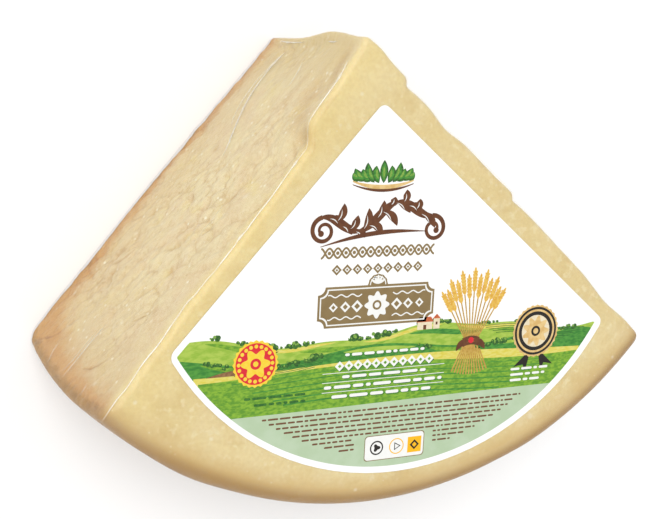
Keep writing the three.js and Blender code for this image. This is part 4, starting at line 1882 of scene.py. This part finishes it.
@dataclass(frozen=True)
class Flourish:
    """A dark scroll that rises across the label: a waving stroke, curled at its ends, leaves and a swash."""

    centre: Pair = (-15.5, -8.5)
    reach: float = 28.0
    rise: float = 4.5
    wave: float = 4.8
    stroke: float = 4.4
    curl: float = 6.2
    leaves: int = 15

    def point(self, t: Array) -> Array:
        """The waving line: across evenly, up by a straight rise and one and a half waves.

        Args:
            t: Places along it, from -1 to 1.

        Returns:
            Points, two numbers each.
        """
        x = self.centre[0] + self.reach * t
        y = self.centre[1] + self.rise * t + self.wave * np.sin(1.5 * math.pi * t)
        return np.stack([x, y], axis=-1)

    def plates(self) -> Plates:
        """The wave, its two curls, leaves to both sides and the swash under it.

        Returns:
            Inks with their plates.
        """
        t = np.linspace(-1, 1, 120)
        line = self.point(t)
        yield "brown", ribbon(line, self.stroke * (0.35 + 0.65 * np.abs(np.cos(1.5 * math.pi * t))), 1)
        for end in (-1, 1):
            foot = line[0] if end < 0 else line[-1]
            before = line[1] if end < 0 else line[-2]
            heading = math.atan2(*(foot - before)[::-1])
            turn = np.linspace(0, 1.35 * math.tau, 90)
            shrink = self.curl * (1 - 0.72 * turn / turn[-1])
            angle = heading - end * (turn - math.pi / 2)
            aside = heading - end * math.pi / 2
            hub = foot + self.curl * np.array([math.cos(aside), math.sin(aside)])
            spiral = hub + shrink[:, None] * np.stack([np.cos(angle), np.sin(angle)], axis=-1)
            yield "brown", ribbon(spiral, np.linspace(self.stroke * 0.5, 1.3, 90), 2)
            yield "brown", slab(loop(spiral[-1], 1.4, 20), 5)
        for number, place in enumerate(np.linspace(-0.86, 0.8, self.leaves)):
            root = self.point(np.array(place))
            side = 1 if number % 2 else -1
            heading = 16 + side * (44 + 8 * (number % 3))
            length = 7.4 + 1.3 * (number % 3)
            height = float(root[1]) + length * math.sin(math.radians(heading))
            length = length * (0.6 if height > 0.5 or height < -17.5 else 1.0)
            yield "brown", leaf(root, heading, length, 3.9, 3, -0.14 * side)
            yield "white", leaf(root + 0.3 * side, heading + 2 * side, 0.62 * length, 0.45, 4, -0.14 * side)
        way = np.linspace(0, 1, 60)
        arch = np.sin(math.pi * way)
        yield "brown", stroke(-44 + 54 * way, -21.5 + 5.5 * way + 2.6 * arch, 0.25 + 1.9 * arch**1.2, 6)


@dataclass(frozen=True)
class Rows:
    """Two rows of ornament under the scroll: a plait of two waves with dots, and a chain of lozenges."""

    plait_centre: Pair = (-14.5, -24.6)
    plait_width: float = 58.0
    waves: int = 7
    lozenge_centre: Pair = (-14.5, -32.4)
    lozenges: int = 9
    lozenge_pitch: float = 5.2

    def plates(self) -> Plates:
        """The plait's two strokes and its dots, then the lozenges with their white hearts.

        Returns:
            Inks with their plates.
        """
        cx, cy = self.plait_centre
        x = np.linspace(-0.5, 0.5, 200) * self.plait_width
        turn = math.tau * self.waves * (x / self.plait_width)
        for sign in (-1, 1):
            yield "olive", stroke(cx + x, cy + sign * 2.2 * np.cos(turn), 0.95, 1)
        for number in range(1, 2 * self.waves):
            place = cx + self.plait_width * (number / (2 * self.waves) - 0.5)
            yield "olive", slab(loop((place, cy), 0.85, 14), 1)
        cx, cy = self.lozenge_centre
        for number in range(self.lozenges):
            place = (cx + self.lozenge_pitch * (number - (self.lozenges - 1) / 2), cy)
            yield from discs(place, 1.0, ("olive", 2.5, 1, 4), ("white", 1.25, 2, 4), ("olive", 0.5, 3, 10))


@dataclass(frozen=True)
class Plaque:
    """An olive banner with hollowed corners, a white line inside its edge, and a rosette between lozenges."""

    centre: Pair = (-14.0, -49.6)
    width: float = 60.0
    height: float = 19.0
    hollow: float = 3.6
    crest: float = 5.0

    def outline(self, inset: float) -> Array:
        """A rectangle whose corners are hollowed by quarter circles.

        Args:
            inset: How far it is moved in.

        Returns:
            The closed curve, counter-clockwise.
        """
        half = np.array([self.width / 2 - inset, self.height / 2 - inset])
        turn = np.linspace(math.pi / 2, 0, 7)
        hollow = half - np.stack([np.cos(turn), np.sin(turn)], axis=-1) * self.hollow
        corners = [hollow[::x * y] * (x, y) for x, y in ((1, 1), (-1, 1), (-1, -1), (1, -1))]
        return np.concatenate(corners) + np.array(self.centre)

    def plates(self) -> Plates:
        """The banner and its crest, the white line, and the ornament on it.

        Returns:
            Inks with their plates.
        """
        cx, cy = self.centre
        head = (cx, cy + self.height / 2)
        yield "olive", slab(loop(head, self.crest, 40, 12, 0.03), 5)
        yield "white", ring(head, self.crest - 1.3, self.crest - 0.8, 6)
        yield "olive", slab(self.outline(0.0), 7)
        yield "white", plate(self.outline(1.0), self.outline(1.6), 8, closed=True)
        flower = (("white", 5.6, 8, 64, 8, 0.16), ("olive", 2.3, 9, 32), ("white", 1.3, 10, 24))
        yield from discs(self.centre, 1.0, *flower)
        for side in (-1, 1):
            for number in range(3):
                x = cx + side * (10.2 + 6.0 * number)
                yield "white", slab(loop((x, cy), 2.9 - 0.35 * number, 4), 8)
                yield "olive", slab(loop((x, cy), 1.5 - 0.2 * number, 4), 9)
            for lift in (-1, 1):
                x = np.linspace(8, 25, 40)[::side]
                yield "white", stroke(cx + side * x, cy + lift * (5.2 + 0.6 * np.sin(x * 1.1)), 0.55, 8)
        for number in range(5):
            yield "white", leaf((head[0], head[1] + 0.4), 90 + 30 * (number - 2), 4.4, 1.2, 6)


@dataclass(frozen=True)
class Medallion:
    """A dark round medallion with gold rings, a gold rosette and two ribbon tails."""

    centre: Pair = (75.0, -68.0)
    radius: float = 13.0
    tail: tuple[Pair, ...] = ((2, -9), (11.5, -17.5), (6.2, -16.5), (4.5, -20.0))

    def plates(self) -> Plates:
        """Tails, disc, rings and rosette, from the bottom up.

        Returns:
            Inks with their plates.
        """
        for side in (-1, 1):
            tail = np.array(self.tail) * (side, 1) + np.array(self.centre)
            yield "black", slab(tail[::-side], 7)
        yield from discs(self.centre, self.radius, ("gold", 1.0, 8, 96, 28, 0.025), ("black", 0.93, 9))
        yield "gold", ring(self.centre, self.radius * 0.76, self.radius * 0.84, 10)
        flower = (("gold", 0.5, 11, 72, 9, 0.2), ("black", 0.2, 12, 32), ("gold", 0.11, 13, 24))
        yield from discs(self.centre, self.radius, ("cream", 0.62, 10), *flower)


@dataclass(frozen=True)
class Rosette:
    """A red disc with a scalloped yellow ring and a flower."""

    centre: Pair = (-73.0, -73.0)
    radius: float = 10.6
    layers: tuple[tuple, ...] = (
        ("yellow", 1.0, 8, 96, 24, 0.035), ("red", 0.9, 9), ("yellow", 0.55, 10, 72, 6, 0.22),
        ("red", 0.24, 11, 36), ("yellow", 0.12, 12, 20),
    )
    beads: int = 20

    def plates(self) -> Plates:
        """Disc and flower, then the ring of beads.

        Returns:
            Inks with their plates.
        """
        yield from discs(self.centre, self.radius, *self.layers)
        for place in loop(self.centre, 0.76 * self.radius, self.beads):
            yield "yellow", slab(loop(place, 0.085 * self.radius, 12), 10)


@dataclass(frozen=True)
class Sheaf:
    """A sheaf of wheat tied with a brown band: stems fan out below and above the tie, an ear on each."""

    tie: Pair = (38.0, -70.0)
    stems: int = 13
    tall: float = 25.0
    foot: float = 17.0
    fan: float = 62.0

    def plates(self) -> Plates:
        """Stems, ears of paired grains and the band with its knot.

        Returns:
            Inks with their plates.
        """
        cx, cy = self.tie
        for number, share in enumerate(np.linspace(-0.5, 0.5, self.stems)):
            level = 6 + number % 2 * 2
            heading = math.radians(90 - self.fan * share)
            up = np.array([math.cos(heading), math.sin(heading)])
            waist = np.array([cx + 6.0 * share, cy])
            tall = self.tall * (1 - 0.55 * share**2 * 2) * (1 - 0.12 * (number % 2))
            base = waist + np.array([0.8 * self.foot * share, -self.foot * (1 - 0.5 * share**2)])
            head = waist + up * tall
            way = np.linspace(0, 1, 12)[:, None]
            yield "stem", ribbon(base + (waist - base) * way, 0.75, level)
            yield "stem", ribbon(waist + (head - waist) * way, 0.6, level)
            for grain in range(6):
                root = waist + up * (tall - 1.5 + 1.55 * grain)
                for side in (-1, 1):
                    angle = math.degrees(heading) - side * 26
                    yield "wheat", leaf(root, angle, 3.0, 1.15, level + 1, 0.08 * side)
            yield "wheat", leaf(waist + up * (tall + 7.4), math.degrees(heading), 3.4, 1.2, level + 1)
        x = np.linspace(-4.6, 4.6, 20)
        for row in (-1.5, 0.0, 1.5):
            yield "brown", stroke(cx + x, cy + row - 0.05 * x**2, 1.35, 10)
        yield "brown", leaf((cx + 1, cy), -35, 8.5, 3.0, 11, 0.16)
        yield "brown", leaf((cx - 1, cy), 215, 8.5, 3.0, 11, -0.16)
        yield "red", slab(loop((cx, cy), 1.5, 20), 12)


@dataclass(frozen=True)
class Lines:
    """Rows of rounded dashes where a label carries its small print, and a white panel with three icons."""

    sector: Sector
    panel_centre: Pair = (-0.5, -119.0)
    panel_half: Pair = (16.0, 6.2)
    panel_corner: float = 1.6

    @staticmethod
    def row(
        rng: np.random.Generator, start: float, end: float, y: float, height: float, level: int
    ) -> list[MeshDraft]:
        """Dashes of drawn lengths from start to end.

        Args:
            rng: The seeded source of lengths.
            start: Lowest x.
            end: Highest x.
            y: The row's height on the label.
            height: The dashes' height.
            level: Their layer of print.

        Returns:
            The dashes.
        """
        made = []
        x = start
        while x < end - 1.2 * height:
            length = min(rng.uniform(1.6, 6.5) * height, end - x)
            made.append(dash((x + length / 2, y), length, height, level))
            x += length + 0.8 * height
        return made

    def plates(self) -> Plates:
        """White rows in the meadow, each over a dark shadow; brown rows on the pale panel; and a white panel.

        Returns:
            Inks with their plates.
        """
        rng = np.random.default_rng(29)
        for y, height, half in ((-72.2, 1.3, 21), (-82.6, 1.4, 22), (-87.2, 1.5, 31), (-91.8, 1.5, 27)):
            for piece in self.row(rng, -8 - half, -8 + half, y, height, 9):
                shadow = MeshDraft(piece.points + np.array([0.3, -0.35, -INK_STEP]), piece.faces)
                shadow.points[:, 2] = np.maximum(shadow.points[:, 2], LABEL_TOP)
                yield "white", piece
                yield "row", shadow
        for number in range(11):
            x = -8 + 4.7 * (number - 5)
            yield "row", slab(loop((x + 0.3, -77.8), 2.4, 4), 8)
            yield from discs((x, -77.4), 1.0, ("white", 2.4, 9, 4), ("meadow", 0.9, 10, 4))
        for y in (-80.5, -84.9, -89.5):
            yield "white", stroke(np.linspace(-40, 24, 12), y, 0.28, 9)
        for y in (-86.6, -89.4, -92.2):
            yield from (("white", piece) for piece in self.row(rng, 62, 172 + y, y, 1.2, 9))
        for y in (-89.0, -92.2):
            yield from (("row", piece) for piece in self.row(rng, -78 - (-89 - y) * -1.5, -48, y, 1.1, 9))
        for number in range(11):
            y = -99.6 - 2.35 * number
            half = self.sector.half_width(y, 9.0) - 3.0
            for start, end in ((-half, -22.0), (20.0, half)) if number > 5 else ((-half, half),):
                if end - start > 4:
                    yield from (("small", piece) for piece in self.row(rng, start, end, y, 0.85, 7))
        yield "white", slab(self.panel(0.0), 7)
        yield "olive", plate(self.panel(0.0), self.panel(0.35), 8, closed=True)
        yield "amber", bar((6.6, -123.2), (14.0, -115.4), 8)
        yield from discs((10.3, -119.4), 1.0, ("black", 2.5, 9, 4), ("amber", 1.3, 10, 4))
        yield "amber", ring((0.6, -119.2), 3.4, 3.9, 8)
        yield from discs((0.6, -119.2), 1.0, ("black", 2.3, 8, 3), ("white", 1.5, 9, 3))
        yield "black", ring((-10.0, -119.0), 2.8, 3.5, 8)
        yield "black", slab(loop((-10.0, -119.0), 1.6, 24, 3, 0.3), 8)

    def panel(self, inset: float) -> Array:
        """A rectangle with round corners: a circle in four quarters, each moved to its corner.

        Args:
            inset: How far it is moved in.

        Returns:
            The closed curve, counter-clockwise.
        """
        half = np.array(self.panel_half) - inset
        arcs = []
        for quarter, sign in enumerate(((1, 1), (-1, 1), (-1, -1), (1, -1))):
            angle = np.linspace(0, math.pi / 2, 6) + quarter * math.pi / 2
            hub = (half - self.panel_corner) * sign
            arcs.append(hub + self.panel_corner * np.stack([np.cos(angle), np.sin(angle)], axis=-1))
        return np.concatenate(arcs) + np.array(self.panel_centre)


@dataclass
class Label:
    """The printed label: the CAD plate in satin paper, and its print as thin layers of ink."""

    arc_centre: Pair = (3.4, -44.9)
    turn: float = -3.4
    sector: Sector = Sector()

    def build(self, bench: Workbench) -> list[bpy.types.Object]:
        """Dresses the CAD label and prints each ink as one piece.

        Args:
            bench: Where pieces are placed.

        Returns:
            The label and the inks.
        """
        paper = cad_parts["label"]
        paper.data.materials.clear()
        paper.data.materials.append(PaperFinish().material())
        sheets: dict[str, list[MeshDraft]] = {}
        motifs = (Fields(self.sector), Sprig(), Flourish(), Rows(), Plaque(), Medallion(), Rosette(), Sheaf())
        for motif in (*motifs, Lines(self.sector)):
            for ink, draft in motif.plates():
                sheets.setdefault(ink, []).append(draft)
        pieces = [paper]
        for key, drafts in sheets.items():
            name = f"print_{key}"
            for number, draft in enumerate(drafts):
                draft.points[:, 2] += (draft.points[:, 2] > LABEL_TOP) * OVERPRINT * (number % 17)
            whole = joined(drafts)
            whole.points = self.on_wheel(whole.points)
            pieces.append(bench.place(name, whole, INKS[key].material(name), "label_paper", smooth=False))
        return pieces

    def on_wheel(self, points: Array) -> Array:
        """Turns points of the label's frame and moves them to the wheel's axis.

        Args:
            points: Points in the label's frame, three numbers each.

        Returns:
            The points as the wheel has them.
        """
        angle = math.radians(self.turn)
        across = np.array([math.cos(angle), math.sin(angle)])
        upward = np.array([-math.sin(angle), math.cos(angle)])
        plan = np.array(self.arc_centre) + points[:, :1] * across + points[:, 1:2] * upward
        return np.concatenate([plan, points[:, 2:]], axis=1)


@dataclass
class Studio:
    """A white floor, soft light from the back left, and the camera above the chunk's tip and left face."""

    eye: tuple[float, float, float] = (-268.93, 52.97, 617.57)
    target: tuple[float, float, float] = (-39.4, -69.7, 126.0)
    picture_up: tuple[float, float, float] = (0.0085, 1.0, 0.0)
    lens: float = 69.15
    key_way: tuple[float, float, float] = (-0.34, 0.36, 0.87)
    key_spread: float = 38.0
    key_power: float = 2.05
    sky: float = 0.62
    floor_size: float = 12.0
    floor_level: float = -0.0003

    def build(self, shift: Array) -> None:
        """Makes the camera, the lights and the floor.

        Args:
            shift: Plan move from the wheel's axis to the frame's origin, in millimetres.
        """
        scene = bpy.context.scene
        scene.view_settings.view_transform = "Standard"
        scene.camera = self.camera(shift)
        self.key_light()
        self.sky_light(scene)
        self.floor()

    def camera(self, shift: Array) -> bpy.types.Object:
        """The camera: its axes are the way to the target, right of it level with the picture, and up.

        Args:
            shift: Plan move from the wheel's axis to the frame's origin, in millimetres.

        Returns:
            The camera's object.
        """
        move = np.array([shift[0], shift[1], 0.0])
        eye, target = (np.array(p) + move for p in (self.eye, self.target))
        forward = unit_rows(target - eye)
        right = unit_rows(np.cross(forward, np.array(self.picture_up)))
        up = np.cross(right, forward)
        pose = np.eye(4)
        pose[:3, 0], pose[:3, 1], pose[:3, 2], pose[:3, 3] = right, up, -forward, eye * METRES
        data = bpy.data.cameras.new("camera")
        data.sensor_fit = "HORIZONTAL"
        data.sensor_width = 36.0
        data.lens = self.lens
        data.clip_start = 0.01
        holder = bpy.data.objects.new("camera", data)
        holder.matrix_world = Matrix(pose.tolist())
        bpy.context.scene.collection.objects.link(holder)
        return holder

    def key_light(self) -> None:
        """A soft even light from one way, as from a wide lit ceiling panel."""
        data = bpy.data.lights.new("key", "SUN")
        data.angle = math.radians(self.key_spread)
        data.energy = self.key_power
        lamp = bpy.data.objects.new("key", data)
        way = Vector(self.key_way).normalized()
        lamp.location = way
        lamp.rotation_euler = way.to_track_quat("Z", "Y").to_euler()
        bpy.context.scene.collection.objects.link(lamp)

    def sky_light(self, scene: bpy.types.Scene) -> None:
        """Even white light from all round.

        Args:
            scene: The scene that it lights.
        """
        world = bpy.data.worlds.new("studio")
        world.use_nodes = True
        back = world.node_tree.nodes["Background"]
        back.inputs["Color"].default_value = (1, 1, 1, 1)
        back.inputs["Strength"].default_value = self.sky
        scene.world = world

    def floor(self) -> None:
        """A plain white floor just under the chunk."""
        half = self.floor_size / 2
        corners = [(x * half, y * half, self.floor_level) for x, y in ((-1, -1), (1, -1), (1, 1), (-1, 1))]
        mesh = bpy.data.meshes.new("floor")
        mesh.from_pydata(corners, [], [(0, 1, 2, 3)])
        plane = bpy.data.objects.new("floor", mesh)
        bpy.context.scene.collection.objects.link(plane)
        s = Shading("floor_white")
        mesh.materials.append(s.finished(s.surface(Base_Color=(0.93, 0.93, 0.93, 1), Roughness=0.9)))


def plan_shift() -> Array:
    """The plan move from the wheel's axis to the frame's origin: the CAD box's low corner less the outline's.

    Returns:
        Two numbers, in millimetres.
    """
    low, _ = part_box("parmesan_chunk")
    form = Wedge()
    up = np.array([form.height / 2])
    outline = form.side_rows(up, Grid(40, 200, 40, 4, 2, 3, 2, 2), Skin.FILM, 0.0)[0][0]
    return np.array(low[:2]) / METRES - outline.min(axis=0)


def main() -> None:
    """Builds the studio, the cheese, its film and its label, in that order."""
    logging.basicConfig(level=logging.INFO, format="%(name)s %(message)s")
    bench = Workbench(plan_shift())
    log.info("shift %s", bench.shift.round(3).tolist())
    Studio().build(bench.shift)
    form = Wedge()
    Cheese(form).build(bench)
    FilmPack(form).build(bench)
    Label().build(bench)


if __name__ == "__main__":
    main()
